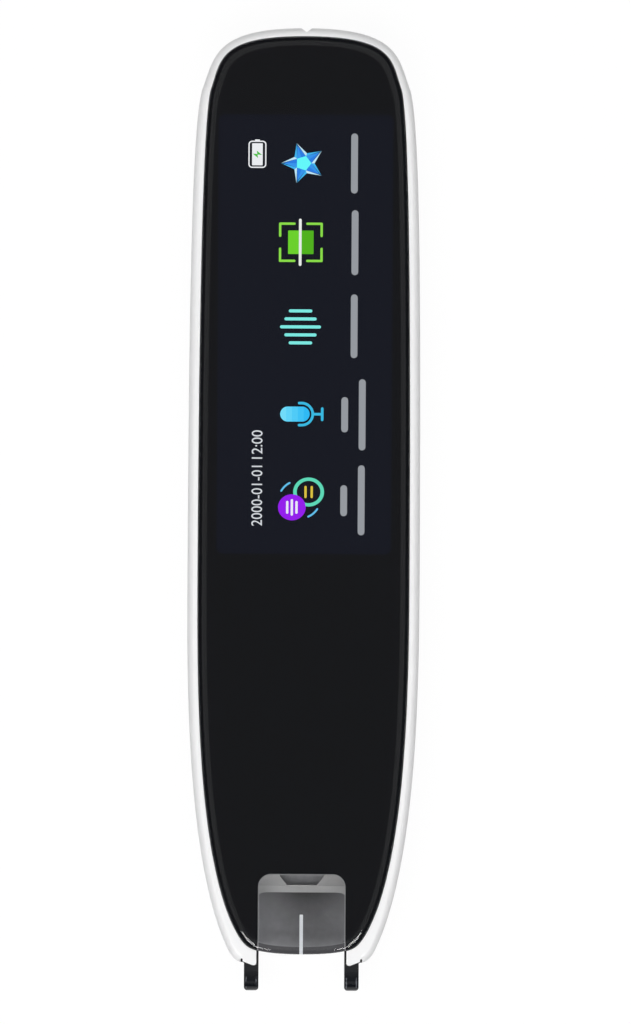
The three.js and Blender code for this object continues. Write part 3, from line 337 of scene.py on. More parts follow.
def loft(name, outline, levels, band_slots=None):
    """Stacked copies of an outline, capped with strips from side to side."""
    count = len(outline.points)
    half = count // 2
    last = (len(levels) - 1) * count
    vertices = [point for level in levels for point in outline.ring(*level)]
    faces = bands(len(levels), count)
    slots = [slot for slot in band_slots or [0] * (len(levels) - 1) for _ in range(count)]
    for i in range(half):
        strip = [i, i + 1, (count - i - 1) % count, (count - i) % count]
        if i == 0:
            strip = [0, 1, count - 1]
        elif i == half - 1:
            strip = [half - 1, half, half + 1]
        faces.append([last + k for k in strip])
        faces.append(strip[::-1])
        slots += [0, 0]
    return mesh_object(name, vertices, faces, slots)


def upright(z0, z1, inset):
    return [(z0, inset), (z1, inset)]


def rounded_top(top, width, drop):
    """Levels up and over an edge that is rounded so wide and so deep."""
    angles = [step / EDGE_STEPS * QUARTER for step in range(EDGE_STEPS + 1)]
    return [(top - drop * (1 - math.sin(a)), width * (1 - math.cos(a))) for a in angles]


def span(middle, half):
    """The two ends of a length, by its middle."""
    return middle - half, middle + half


def mirrored(right):
    """A line carried on by its mirror image down the left."""
    return right + [(-x, y) for x, y in reversed(right)]


def prism(name, outline, start, end, axis="z"):
    """A closed polygon pushed along z, or a side view of y and z pushed along x."""
    count = len(outline)
    turned_area = sum(
        outline[i][0] * outline[(i + 1) % count][1] - outline[(i + 1) % count][0] * outline[i][1]
        for i in range(count)
    )
    if turned_area < 0:
        outline = outline[::-1]
    vertices = [(*point, w) for w in (start, end) for point in outline]
    if axis == "x":
        vertices = [(w, u, v) for u, v, w in vertices]
    return skin(name, vertices, count)


def box(name, x, y, z):
    return prism(name, [(x[0], y[0]), (x[1], y[0]), (x[1], y[1]), (x[0], y[1])], *z)


def arc(centre, radius, start, end, steps=ARC_STEPS):
    """Points from one angle to another, both in quarter turns."""
    points = []
    for step in range(steps + 1):
        angle = (start + (end - start) * step / steps) * QUARTER
        points.append((centre[0] + radius * math.cos(angle), centre[1] + radius * math.sin(angle)))
    return points


def rounded_rectangle(x, y, radius):
    return (
        arc((x[0] + radius, y[0] + radius), radius, 2, 3)
        + arc((x[1] - radius, y[0] + radius), radius, 3, 4)
        + arc((x[1] - radius, y[1] - radius), radius, 0, 1)
        + arc((x[0] + radius, y[1] - radius), radius, 1, 2)
    )


def pad(centre, half, radius):
    """A rounded rectangle by its centre and half sides."""
    return rounded_rectangle(span(centre[0], half[0]), span(centre[1], half[1]), radius)


def turns(sides):
    """The cosine and sine of each of so many equal turns."""
    angles = [side / sides * math.tau for side in range(sides)]
    return [(math.cos(angle), math.sin(angle)) for angle in angles]


def ways(points):
    """The direction of a line at each of its points."""
    neighbours = zip([points[0], *points[:-1]], [*points[1:], points[-1]])
    return [(ahead - behind).normalized() for behind, ahead in neighbours]


def sweep(name, points, radius):
    """A round rod along a line of points."""
    points = [Vector(point) for point in points]
    across = (points[1] - points[0]).orthogonal()
    vertices = []
    for point, along in zip(points, ways(points)):
        across = (across - along * across.dot(along)).normalized()
        over = along.cross(across)
        vertices += [point + (across * u + over * v) * radius for u, v in turns(WIRE_SIDES)]
    return skin(name, vertices, WIRE_SIDES)


def turned(name, foot, profile, axis="z"):
    """A profile of radius and height turned about a line that runs along an axis from its foot."""
    vertices = []
    for radius, height in profile:
        for across, over in turns(ROD_SIDES):
            u, v = radius * across, radius * over
            offset = {"x": (height, u, v), "y": (v, height, u), "z": (u, v, height)}[axis]
            vertices.append(Vector(foot) + Vector(offset))
    return skin(name, vertices, ROD_SIDES)


def rod(name, foot, length, radius, axis="z"):
    return turned(name, foot, [(radius, 0), (radius, length)], axis)


def made_mesh(obj):
    """The mesh that an object's modifiers, or its letters, make."""
    return bpy.data.meshes.new_from_object(obj.evaluated_get(bpy.context.evaluated_depsgraph_get()))


def fix_mesh(obj):
    """Makes the modifiers' result the object's own mesh."""
    made = made_mesh(obj)
    obj.modifiers.clear()
    obj.data = made


def combine(obj, operation, others):
    for other in others:
        step = obj.modifiers.new(operation, "BOOLEAN")
        step.operation = operation
        step.solver = "MANIFOLD"
        step.object = other
    fix_mesh(obj)
    for other in others:
        bpy.data.objects.remove(other)
    return obj


def cut(obj, *cutters):
    return combine(obj, "DIFFERENCE", cutters)


def join(obj, *others):
    return combine(obj, "UNION", others)


def keep_common(obj, *others):
    return combine(obj, "INTERSECT", others)


def add_bevel(obj, width, segments):
    """Rounds the edges that are sharp."""
    edge = obj.modifiers.new("edge", "BEVEL")
    edge.width = width * MM
    edge.segments = segments
    edge.limit_method = "ANGLE"
    edge.angle_limit = math.radians(SHARP_ANGLE)


def round_edges(obj, width, segments=3):
    add_bevel(obj, width, segments)
    fix_mesh(obj)
    return obj


def smoothed(obj):
    """Smooths the shading between the edges that are sharp."""
    obj.data.polygons.foreach_set("use_smooth", [True] * len(obj.data.polygons))
    obj.data.set_sharp_from_angle(angle=math.radians(SHARP_ANGLE))
    even = obj.modifiers.new("normals", "WEIGHTED_NORMAL")
    even.keep_sharp = True
    return obj


# Finishes: each a procedural material


def linear(*values):
    """The linear colour of an 8-bit display colour."""
    shares = [value / 255 for value in values]
    return [s / 12.92 if s <= 0.04045 else ((s + 0.055) / 1.055) ** 2.4 for s in shares]


class Nodes:
    """A node tree, with short ways to fill it."""

    def __init__(self, tree, prefix="ShaderNode"):
        self.tree = tree
        self.prefix = prefix

    def put(self, socket, value):
        """Links a socket to a node's first output or to a socket, or gives it a plain value."""
        if isinstance(value, bpy.types.Node):
            value = value.outputs[0]
        if isinstance(value, bpy.types.NodeSocket):
            self.tree.links.new(value, socket)
        else:
            socket.default_value = value

    def node(self, kind, inputs=None, **settings):
        """A node with its settings, and its inputs by name or place."""
        node = self.tree.nodes.new(self.prefix + kind)
        for key, value in settings.items():
            setattr(node, key, value)
        for key, value in (inputs or {}).items():
            self.put(node.inputs[key], value)
        return node

    def reckon(self, operation, *values):
        """A number worked out from sockets and plain values."""
        return self.node("Math", dict(enumerate(values)), operation=operation).outputs["Value"]

    def spread(self, source, low, high, source_low=0.3, source_high=0.7):
        """A source's range carried over to another range."""
        ends = {"From Min": source_low, "From Max": source_high, "To Min": low, "To Max": high}
        return self.node("MapRange", {"Value": source, **ends}).outputs["Result"]

    def seen_by(self, first, *others):
        """1 for rays of these kinds and 0 for the rest."""
        path = self.node("LightPath").outputs
        seen = path[f"Is {first} Ray"]
        for kind in others:
            seen = self.reckon("MAXIMUM", seen, path[f"Is {kind} Ray"])
        return seen


class Finish(Nodes):
    """A material whose colour, roughness and grain come from nodes."""

    def __init__(self, name):
        self.material = bpy.data.materials.new(name)
        self.material.use_nodes = True
        super().__init__(self.material.node_tree)
        self.shader = self.tree.nodes["Principled BSDF"]
        self.place = self.node("TexCoord").outputs["Object"]

    def noise(self, scale, detail=3, stretch=None):
        """Noise of so many features a metre, drawn out along an axis where stretch says so."""
        place = self.place
        if stretch:
            place = self.node("Mapping", {"Vector": place, "Scale": stretch})
        return self.node("TexNoise", {"Vector": place, "Scale": scale, "Detail": detail}).outputs["Fac"]

    def mix(self, factor, low, high):
        """A colour between two others, each three values or a socket."""
        mix = self.node("Mix", {"Factor": factor}, data_type="RGBA")
        ends = [socket for socket in mix.inputs if socket.type == "RGBA"]
        for socket, color in zip(ends, (low, high)):
            self.put(socket, color if isinstance(color, bpy.types.NodeSocket) else (*color, 1))
        return next(socket for socket in mix.outputs if socket.type == "RGBA")

    def made(self, color, rough, relief=None, **sockets):
        """The material with its colour and roughness, its bumps and any other values.

        The bumps are a source and their height in millimetres.
        """
        if relief:
            bump = self.node("Bump", {"Distance": relief[1] * MM, "Height": relief[0]})
            self.put(self.shader.inputs["Normal"], bump)
        for key, value in {"Base Color": color, "Roughness": rough, **sockets}.items():
            self.put(self.shader.inputs[key.replace("_", " ")], value)
        return self.material

    def blend(self, factor, shader, other=None):
        """One shader turning into another, or into nothing, as the factor goes to 1."""
        other = other or self.node("BsdfTransparent")
        return self.node("MixShader", {0: factor, 1: shader, 2: other})

    def show(self, source):
        """The material with its surface taken from a source."""
        self.put(self.tree.nodes["Material Output"].inputs["Surface"], source)
        return self.material


def moulded(name, color, rough, tint=0.05, patch=260, grain=5200, depth=0.006, **sockets):
    """Moulded plastic or rubber: faint patches of tone and a fine grain."""
    finish = Finish(name)
    dark = [value * (1 - tint) for value in color]
    light = [min(1, value * (1 + tint)) for value in color]
    tone = finish.mix(finish.noise(patch), dark, light)
    wear = finish.spread(finish.noise(patch * 3), rough * 0.85, rough * 1.15)
    return finish.made(tone, wear, (finish.noise(grain), depth), **sockets)


def brushed(name, color, rough, stretch):
    """Metal with fine marks along one way."""
    finish = Finish(name)
    marks = finish.noise(2400, 2, stretch)
    tone = finish.mix(marks, [value * 0.92 for value in color], color)
    wear = finish.spread(marks, rough * 0.7, rough * 1.3)
    return finish.made(tone, wear, (marks, 0.004), Metallic=1)


def clear_glass():
    """Polished glass that lets the lamps through, with a trace of smudge."""
    finish = Finish("glass")
    smudge = finish.spread(finish.noise(90), 0.0, 0.03)
    finish.made((1, 1, 1, 1), smudge, Transmission_Weight=1.0, IOR=1.5)
    return finish.show(finish.blend(finish.seen_by("Shadow"), finish.shader))


def circuit_board():
    """Solder mask with faint copper runs under it."""
    finish = Finish("circuit_board")
    tones = {"Color1": (28, 84, 56), "Color2": (34, 96, 64), "Mortar": (22, 66, 46)}
    inputs = {name: (*linear(*tone), 1) for name, tone in tones.items()}
    runs = finish.node("TexBrick", {"Vector": finish.place, "Scale": 420, **inputs}).outputs
    wear = finish.spread(finish.noise(900), 0.35, 0.55)
    return finish.made(runs["Color"], wear, (runs["Fac"], 0.01))


# The chamber's painted light and shade: its tones from its top to its mouth, behind the scoop
# and rising to its sides, and where they change, in millimetres
CHAMBER_TONES = (0.035, 0.2)
CHAMBER_SPAN = (-62, -67.5)
CHAMBER_REAR = (-61.4, -60.6)
CHAMBER_REAR_PAINTED_LIGHT = 0.3
CHAMBER_MIDDLE = 1.2
CHAMBER_PAINTED_RISE = 3000


def chamber_painted_light():
    """Dark moulded plastic with painted light and shade: darker at its top, paler towards the mouth, behind
    the scoop and up the sides.
    """
    finish = Finish("chamber_painted_light")
    place = finish.node("SeparateXYZ", {0: finish.place}).outputs
    down = finish.spread(place["Y"], *CHAMBER_TONES, *[y * MM for y in CHAMBER_SPAN])
    painted_rear_light = finish.spread(place["Y"], 0, CHAMBER_REAR_PAINTED_LIGHT, *[y * MM for y in CHAMBER_REAR])
    from_middle = finish.reckon("SUBTRACT", place["X"], CHAMBER_MIDDLE * MM)
    painted_side_light = finish.reckon("MULTIPLY", finish.reckon("POWER", from_middle, 2), CHAMBER_PAINTED_RISE)
    speck = finish.spread(finish.noise(900), 0.92, 1.08)
    tone = finish.reckon("MULTIPLY_ADD", finish.reckon("ADD", down, painted_rear_light), speck, painted_side_light)
    return finish.made(
        finish.mix(tone, (0, 0, 0), (0.94, 0.945, 1)), finish.spread(finish.noise(780), 0.5, 0.62),
        (finish.noise(3000), 0.012), Specular_IOR_Level=0.1,
    )


def dust_mesh():
    """The speaker's steel mesh: round holes in rows."""
    finish = Finish("dust_mesh")
    inputs = {"Vector": finish.place, "Scale": 2400, "Randomness": 0}
    cells = finish.node("TexVoronoi", inputs, feature="DISTANCE_TO_EDGE")
    wires = finish.spread(cells.outputs["Distance"], 1, 0, 0.1, 0.25)
    tone = finish.mix(wires, (0.01, 0.01, 0.01), (0.3, 0.3, 0.31))
    return finish.made(tone, finish.spread(finish.noise(3000), 0.3, 0.5), (wires, 0.03), Metallic=0.8)


def crinkled_foil():
    finish = Finish("cell_foil")
    folds = finish.noise(340, 4)
    tone = finish.mix(folds, (0.42, 0.42, 0.43), (0.52, 0.52, 0.54))
    return finish.made(tone, finish.spread(folds, 0.3, 0.5), (folds, 0.08), Metallic=0.9)


# Where the fork turns from gloss to matte, in millimetres along the pen. Each foot has a painted glint
# along a line beside its middle, and the glint fades from the first to the second place of each pair.
MATTE_ABOVE = -74.4
GLOSS_BELOW = -76.2
PAINTED_GLINT_TOP = (-75.9, -75.5)
PAINTED_GLINT_FOOT = (-77.3, -77.6)
PAINTED_GLINT_INNER = (0.76, 0.68)
PAINTED_GLINT_OUTER = (0.86, 0.94)


def fork_plastic():
    """Black plastic, matte where it runs in the housing and polished at the feet, with painted glints along
    the feet's sides.
    """
    finish = Finish("black_gloss")
    place = finish.node("SeparateXYZ", {0: finish.place}).outputs
    matte = finish.spread(place["Y"], 0, 1, GLOSS_BELOW * MM, MATTE_ABOVE * MM)
    patches = finish.noise(700)
    polished = finish.mix(patches, (0.002, 0.0028, 0.0048), (0.003, 0.004, 0.0065))
    dull = finish.mix(patches, (0.003, 0.0035, 0.0055), (0.005, 0.0055, 0.0075))
    side = finish.reckon("ABSOLUTE", place["X"])
    from_middle = finish.reckon("SUBTRACT", side, (LEG_INNER + fork_high.x) / 2 * MM)
    from_line = finish.reckon("ABSOLUTE", from_middle)
    # Painted glints: pale lines beside each foot's middle, broken by noise and faded at their ends
    painted_glint = finish.spread(finish.noise(1500), 0, 1, 0.42, 0.55)
    for source, reach in (
        (from_line, PAINTED_GLINT_INNER), (from_line, PAINTED_GLINT_OUTER), (place["Y"], PAINTED_GLINT_TOP), (place["Y"], PAINTED_GLINT_FOOT),
    ):
        bound = finish.spread(source, 1, 0, *[end * MM for end in reach])
        painted_glint = finish.reckon("MULTIPLY", painted_glint, bound)
    plain = finish.mix(matte, polished, dull)
    return finish.made(
        finish.mix(painted_glint, plain, (0.11, 0.115, 0.13)), finish.spread(matte, 0.12, 0.3, 0, 1),
        (finish.noise(5200), 0.003), Specular_IOR_Level=0.38,
    )


def lit(name, color):
    """Part of the picture on the lit display."""
    finish = Finish(name)
    tone = finish.mix(finish.noise(4000), (0, 0, 0), (0.004, 0.004, 0.004))
    glow = (*linear(*color), 1)
    return finish.made(tone, 0.6, Specular_IOR_Level=0, Emission_Color=glow, Emission_Strength=1)


# Colour, roughness and what else differs from plain moulded plastic
MOULDED = {
    "white_shell": ((0.86, 0.86, 0.865), 0.34, {"tint": 0.012, "Coat_Weight": 0.25, "Coat_Roughness": 0.2}),
    "white_key": ((0.83, 0.83, 0.84), 0.4, {"tint": 0.015}),
    "ink": ((0.0016, 0.0023, 0.0046), 0.6, {"tint": 0.2, "depth": 0.001, "Specular_IOR_Level": 0}),
    "window_line": ((0.33, 0.33, 0.34), 0.5, {}),
    # Painted shade: the dark band along the glass's lower edge inside the window
    "painted_edge_shade": ((0.045, 0.045, 0.052), 0.5, {}),
    # The aim print's faint emission is painted light that brightens it under the glass
    "aim_print": ((0.85, 0.88, 0.92), 0.6, {
        "tint": 0.04, "depth": 0.002, "Emission_Color": (0.9, 0.95, 1, 1), "Emission_Strength": 0.1,
    }),
    "rubber": ((0.012, 0.012, 0.013), 0.85, {"tint": 0.2, "grain": 2400, "depth": 0.03}),
    "panel": ((0.008, 0.009, 0.013), 0.3, {"tint": 0.1, "depth": 0.001}),
    "dark_plastic": ((0.11, 0.111, 0.122), 0.55, {"tint": 0.06, "grain": 3000, "depth": 0.012}),
    "grey_plastic": ((0.42, 0.42, 0.42), 0.5, {"Specular_IOR_Level": 0.2}),
    "lamp": ((0.85, 0.75, 0.42), 0.3, {"Coat_Weight": 0.5}),
    "wire_red": ((0.45, 0.02, 0.015), 0.5, {"tint": 0.08}),
    "wire_black": ((0.012, 0.012, 0.013), 0.5, {"tint": 0.15}),
    "flex": ((0.25, 0.11, 0.025), 0.4, {"tint": 0.12, "patch": 900, "Coat_Weight": 0.4}),
}

# What the picture on the display is made of, in 8-bit display colours
DISPLAY_COLORS = {
    "display_glow": (2, 6, 22), "sign_white": (238, 240, 244), "bolt_green": (70, 190, 60),
    "star_pale": (196, 236, 252), "star_bright": (60, 180, 240), "star_deep": (36, 124, 228),
    "star_blue": (50, 148, 238), "star_heart": (98, 250, 253), "frame_green": (138, 222, 70),
    "sheet_bright": (106, 210, 36), "sheet_dim": (78, 178, 14), "line_white": (236, 240, 236),
    "bar_aqua": (124, 236, 229), "mic_blue": (52, 186, 228), "ring_green": (92, 218, 184),
    "disc_purple": (148, 18, 238), "disc_stroke": (240, 236, 250), "ring_stroke": (222, 196, 60),
    "dash_blue": (96, 190, 236), "label_white": (150, 154, 160), "clock_white": (214, 218, 224),
}
MIC_HEAD_BANDS = 5
MIC_HEAD_FADE = ((112, 222, 253), (40, 188, 248))
for band in range(MIC_HEAD_BANDS):
    share = band / (MIC_HEAD_BANDS - 1)
    DISPLAY_COLORS[f"mic_head_{band + 1}"] = [a + (b - a) * share for a, b in zip(*MIC_HEAD_FADE)]

finishes = {
    "glass": clear_glass(),
    "circuit_board": circuit_board(),
    "black_gloss": fork_plastic(),
    "steel": brushed("steel", (0.56, 0.56, 0.58), 0.3, (1, 12, 1)),
    "gold": brushed("gold", (0.83, 0.62, 0.26), 0.24, (12, 1, 1)),
    "cell_foil": crinkled_foil(),
    "dust_mesh": dust_mesh(),
    "chamber_painted_light": chamber_painted_light(),
}
for name, (color, rough, more) in MOULDED.items():
    finishes[name] = moulded(name, color, rough, **more)
for name, color in DISPLAY_COLORS.items():
    finishes[name] = lit(name, color)


def dress(obj, slot, *nodes, on="housing", finish=None):
    """Gives a piece its body and its slot's finish or another, and hides the solids it stands for."""
    obj.data.materials.clear()
    obj.data.materials.append(finishes[finish or slot])
    if nodes:
        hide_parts(*nodes)
    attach(obj, on)
    return obj


# The housing


def middle_of(node):
    low, high = corners(node)
    return (low + high) / 2


def screw_places(kind):
    return [middle_of(node) for node in frame["nodes"] if node.startswith(kind + "_screw")]


def mouth_cutter(shadow_seal=0):
    """The open scan mouth, with the toes' inner corners rounded, less the dark strip of painted shadow
    round them.
    """
    corner = (TOE_HALF + TOE_ROUND, tip_y + TOE_RISE + TOE_ROUND)
    round_toe = arc(corner, TOE_ROUND + shadow_seal, 2, 3)
    right = [(TOE_HALF - shadow_seal, mouth_y), *round_toe, (corner[0], tip_y - OVERRUN)]
    return prism("mouth", mirrored(right), *through_z)


def groove_cutter():
    """The strap groove in the tail."""
    outline = [
        (-GROOVE_HALF, tail_y + OVERRUN), (-GROOVE_HALF, tail_y), (0, tail_y - GROOVE_DEPTH),
        (GROOVE_HALF, tail_y), (GROOVE_HALF, tail_y + OVERRUN),
    ]
    return prism("groove", outline, STRAP_HEIGHT, through_z[1])


def slant_cutters(shadow_seal=0):
    """What slants the toes' ends, less the dark strip of painted shadow round them."""
    cutters = []
    for side in (-1, 1):
        slant = [(side * x, tip_y + y - shadow_seal) for x, y in TOE_SLANT]
        below = [(x, tip_y - OVERRUN) for x, _ in reversed(slant)]
        cutters.append(prism("slant", slant + below, *through_z))
    return cutters


def notch_cutters():
    """The small nicks where the toes meet the cheeks."""
    cutters = []
    for middle in (-NOTCH_X, NOTCH_X):
        x = span(middle, NOTCH_HALF)
        outline = [
            (x[0], tip_y - OVERRUN), (x[1], tip_y - OVERRUN), (x[1], tip_y + NOTCH_DEPTH),
            (middle, tip_y + NOTCH_DEPTH + NOTCH_HALF), (x[0], tip_y + NOTCH_DEPTH),
        ]
        cutters.append(prism("notch", outline, NOTCH_FLOOR, through_z[1]))
    return cutters


def tip_and_tail_cutters():
    """What shapes both halves of the housing at the tip and the tail."""
    return [mouth_cutter(), groove_cutter(), *slant_cutters(), *notch_cutters()]


def front_rim():
    """The white rim with the ledge, the skirt and the mid plate inside it."""
    up = through_z[1]
    seam = [(parting_z, SEAM_CHAMFER), (parting_z + SEAM_CHAMFER, 0)]
    rim = loft("front_rim", body, seam + rounded_top(rim_z, RIM_ROUND, RIM_ROUND_HEIGHT))
    toes = loft("toes", body, [*seam, (rim_z - OUTER_EDGE, 0), (rim_z, OUTER_EDGE)])
    toe_y = (fork_low.y, tip_y + TOE_LENGTH)
    keep_common(toes, box("toe_room", span(0, NOTCH_X), toe_y, through_z))
    join(rim, toes, loft("skirt", body, upright(plate_z, parting_z + WELD, SIDE_WALL + LIP_FIT)))
    nose_y = (fork_low.y, plate_y)
    nose_well = loft("nose_well", pane, upright(0, up, LEDGE_WIDTH))
    keep_common(nose_well, box("nose", span(0, body_half), nose_y, (0, up)))
    cut(
        rim,
        loft("pocket", pane, upright(ledge_z, up, -POCKET_FIT)),
        loft("pocket_edge", pane, [
            (rim_z - POCKET_EDGE, -POCKET_FIT), (rim_z + POCKET_EDGE, -POCKET_FIT - 2 * POCKET_EDGE),
        ]),
        loft("well", pane, upright(plate_top_z, up, LEDGE_WIDTH)),
        nose_well,
        box("legs", span(0, leg_room), nose_y, (0, parting_z)),
        box("hood_room", span(0, hood_room), (mouth_y, plate_y), (0, ink_z)),
        *tip_and_tail_cutters(),
    )
    head_seat = plate_top_z - SCREW_HEAD_HEIGHT - SCREW_SINK
    bosses = []
    holes = []
    for x, y, _ in screw_places("frame"):
        bosses.append(rod("boss", (x, y, rim_low.z), plate_z + WELD - rim_low.z, POST_RADIUS + WELD))
        holes.append(rod("shank", (x, y, 0), up, BORE_RADIUS))
        holes.append(rod("head", (x, y, head_seat), up, SCREW_HEAD + RUN_FIT))
    join(rim, *bosses)
    cut(rim, *holes)
    dress(smoothed(rim), "white_shell", "front_frame")


def toe_shade_pieces():
    """Black rubber pieces that paint shade: one fills the nick beside each toe, and a thin strip round the
    toes paints the shadow line under them.
    """
    for name, side in (("left", -1), ("right", 1)):
        y = (tip_y + SHADE_JOINT_START, tip_y + NOTCH_DEPTH + NOTCH_HALF)
        joint = box(f"toe_shade_joint_{name}", span(side * NOTCH_X, NOTCH_HALF), y, (NOTCH_FLOOR, SHADE_JOINT_TOP))
        dress(joint, "rubber")
    # The thin dark strip that paints the shadow line round the toes
    shadow_seal_y = (fork_low.y, tip_y + TOE_LENGTH)
    shadow_seal_z = (fork_high.z + LAYER, parting_z + TOE_SHADOW_SEAL)
    shadow_seal = loft("toe_shadow_seal", body, upright(*shadow_seal_z, -TOE_SHADOW_SEAL))
    keep_common(shadow_seal, box("shadow_seal_room", span(0, NOTCH_X - NOTCH_HALF), shadow_seal_y, shadow_seal_z))
    cut(shadow_seal, mouth_cutter(TOE_SHADOW_SEAL), *slant_cutters(TOE_SHADOW_SEAL))
    dress(smoothed(shadow_seal), "rubber")


def round_levels(floor, draw, inset):
    """Levels of a rounded back: flat in the middle, upright at the seam."""
    levels = []
    for step in range(ROUND_STEPS + 1):
        turn = step / ROUND_STEPS * QUARTER
        drawn = draw * (1 - math.sin(turn))
        z = floor + (parting_z - floor) * (1 - math.cos(turn))
        levels.append((z, inset + drawn, inset + END_ROUND_SHARE * drawn))
    return levels


def speaker_slots():
    """Slots in the back under the loudspeaker, chamfered at the outside."""
    middle = (speaker_low.y + speaker_high.y) / 2
    cutters = []
    for i in range(SLOT_COUNT):
        x = (i - (SLOT_COUNT - 1) / 2) * SLOT_PITCH
        for grow, top in ((0, back_wall + WELD), (OUTER_EDGE, OUTER_EDGE)):
            half = SLOT_WIDTH / 2 + grow
            outline = pad((x, middle), (half, SLOT_LENGTH / 2 + grow), half)
            cutters.append(prism("slot", outline, -OVERRUN, top))
    return cutters


def key_outline(grow):
    middle = middle_of("power_button")
    half_z = (key_high.z - key_low.z) / 2 + grow
    return pad((middle.y, middle.z), (KEY_LENGTH / 2 + grow, half_z), half_z)


def rails_and_walls(side):
    """On one side, the fork's two rail pairs and the wall that its spring pushes against."""
    floor = back_wall / 2
    run = fork_high.x + RUN_FIT
    pieces = []
    for along in (0, RAIL_PITCH):
        y = mouth_y + RAIL_START + along
        for inner, top in ((hood_room, fork_low.z - RUN_FIT), (run, plate_z - SEAT_FIT)):
            x = sorted((side * inner, side * (run + RAIL_WIDTH)))
            pieces.append(box("rail", x, (y, y + RAIL_LENGTH), (floor, top)))
    spring = middle_of("fork_spring_right")
    x = side * spring.x
    y = corners("fork_spring_right")[1].y + SEAT_FIT
    wall_z = (floor, parting_z - FORK_HEAD_FIT)
    pieces.append(box("spring_wall", span(x, SPRING_WALL_HALF), (y, y + SPRING_WALL), wall_z))
    foot = (x, y - SPIGOT_LENGTH, spring.z)
    pieces.append(rod("spigot", foot, SPIGOT_LENGTH + WELD, SPIGOT_RADIUS, "y"))
    return pieces


def screw_posts():
    """The posts that the screws bite in, and the bores in them."""
    posts = []
    bores = []
    tops = {"frame": rim_low.z, "board": corners("main_board")[0].z, "hood": hood_low.z}
    for kind, top in tops.items():
        for x, y, _ in screw_places(kind):
            posts.append(rod("post", (x, y, back_wall / 2), top - back_wall / 2, POST_RADIUS))
            bore_foot = (x, y, max(top - SCREW_LENGTH, back_wall))
            bores.append(rod("bore", bore_foot, top, BORE_RADIUS))
    return posts, bores


def back_shell():
    """The rounded tub with its toes, rails, walls, posts and openings."""
    outer = round_levels(0, BACK_ROUND, 0)
    outer[-1:] = [(parting_z - SEAM_CHAMFER, 0), (parting_z, SEAM_CHAMFER)]
    inner = round_levels(back_wall, INNER_ROUND, SIDE_WALL)
    inner.append((parting_z + OVERRUN, SIDE_WALL))
    shell = loft("back_shell", body, outer)
    cut(shell, loft("cavity", body, inner))
    block_y = (tail_y - STRAP_BLOCK_LENGTH, tail_y)
    block_z = (back_wall / 2, plate_z - SEAT_FIT)
    fittings = box("strap_block", span(0, STRAP_BLOCK_HALF), block_y, block_z)
    posts, bores = screw_posts()
    join(fittings, *posts, *rails_and_walls(-1), *rails_and_walls(1))
    join(shell, keep_common(fittings, loft("tub", body, outer)))
    strap_y = tail_y - STRAP_INSET
    strap_foot = (0, strap_y - STRAP_RADIUS, STRAP_HEIGHT)
    microphone = middle_of("microphone")
    pin = middle_of("socket_pin")
    socket_foot = (-body_half - OVERRUN, pin.y, pin.z)
    socket_length = corners("socket_pin")[0].x - SEAT_FIT - socket_foot[0]
    leg_ends = (fork_low.y, mouth_y + RAIL_START)
    cut(
        shell,
        *tip_and_tail_cutters(),
        box("legs", span(0, leg_room), leg_ends, (fork_low.z - RUN_FIT, top_z)),
        rod("strap", strap_foot, STRAP_INSET + STRAP_RADIUS + OVERRUN, STRAP_RADIUS, "y"),
        rod("strap_down", (0, strap_y, -OVERRUN), STRAP_HEIGHT + OVERRUN, STRAP_RADIUS),
        rod("sound_hole", (0, microphone.y, -OVERRUN), back_wall + 2 * OVERRUN, MIC_HOLE),
        rod("socket_hole", socket_foot, socket_length, SOCKET_HOLE, "x"),
        prism("key_slot", key_outline(RUN_FIT), key_low.x, body_half + OVERRUN, "x"),
        *speaker_slots(),
        *bores,
    )
    dress(smoothed(shell), "white_shell", "back_cover")


# The fork, its springs, the power key and the leads


def scan_fork():
    """Two legs with rounded feet, a cross bridge and the spigots that hold the springs."""
    bridge_end = fork_high.y - SPIGOT_LENGTH
    bridge = bridge_end - BRIDGE_LENGTH
    outer = fork_high.x
    foot_y = fork_low.y + FOOT_ROUND
    step = mouth_y + LEG_STEP
    right = [
        (hood_room, bridge), (hood_room, step), (LEG_INNER, step),
        *arc((LEG_INNER + FOOT_ROUND, foot_y), FOOT_ROUND, 2, 3),
        *arc((outer - FOOT_ROUND, foot_y), FOOT_ROUND, 3, 4),
        (outer, bridge_end),
    ]
    fork = prism("fork", mirrored(right), fork_low.z, fork_high.z)
    skid_y = fork_low.y + FOOT_SKID
    side = [
        *arc((skid_y, fork_high.z - FOOT_SKID), FOOT_SKID, 1, 2),
        *arc((skid_y, fork_low.z + FOOT_SKID), FOOT_SKID, 2, 3),
        (bridge_end, fork_low.z), (bridge_end, fork_high.z),
    ]
    keep_common(fork, prism("fork_side", side, -outer, outer, "x"))
    round_edges(fork, FORK_EDGE, FORK_EDGE_STEPS)
    middle = (fork_low.z + fork_high.z) / 2
    for x in span(0, middle_of("fork_spring_right").x):
        foot = (x, bridge_end - WELD, middle)
        join(fork, rod("spigot", foot, SPIGOT_LENGTH + WELD, SPIGOT_RADIUS, "y"))
    dress(smoothed(fork), "black_gloss", "scan_fork", on="fork")


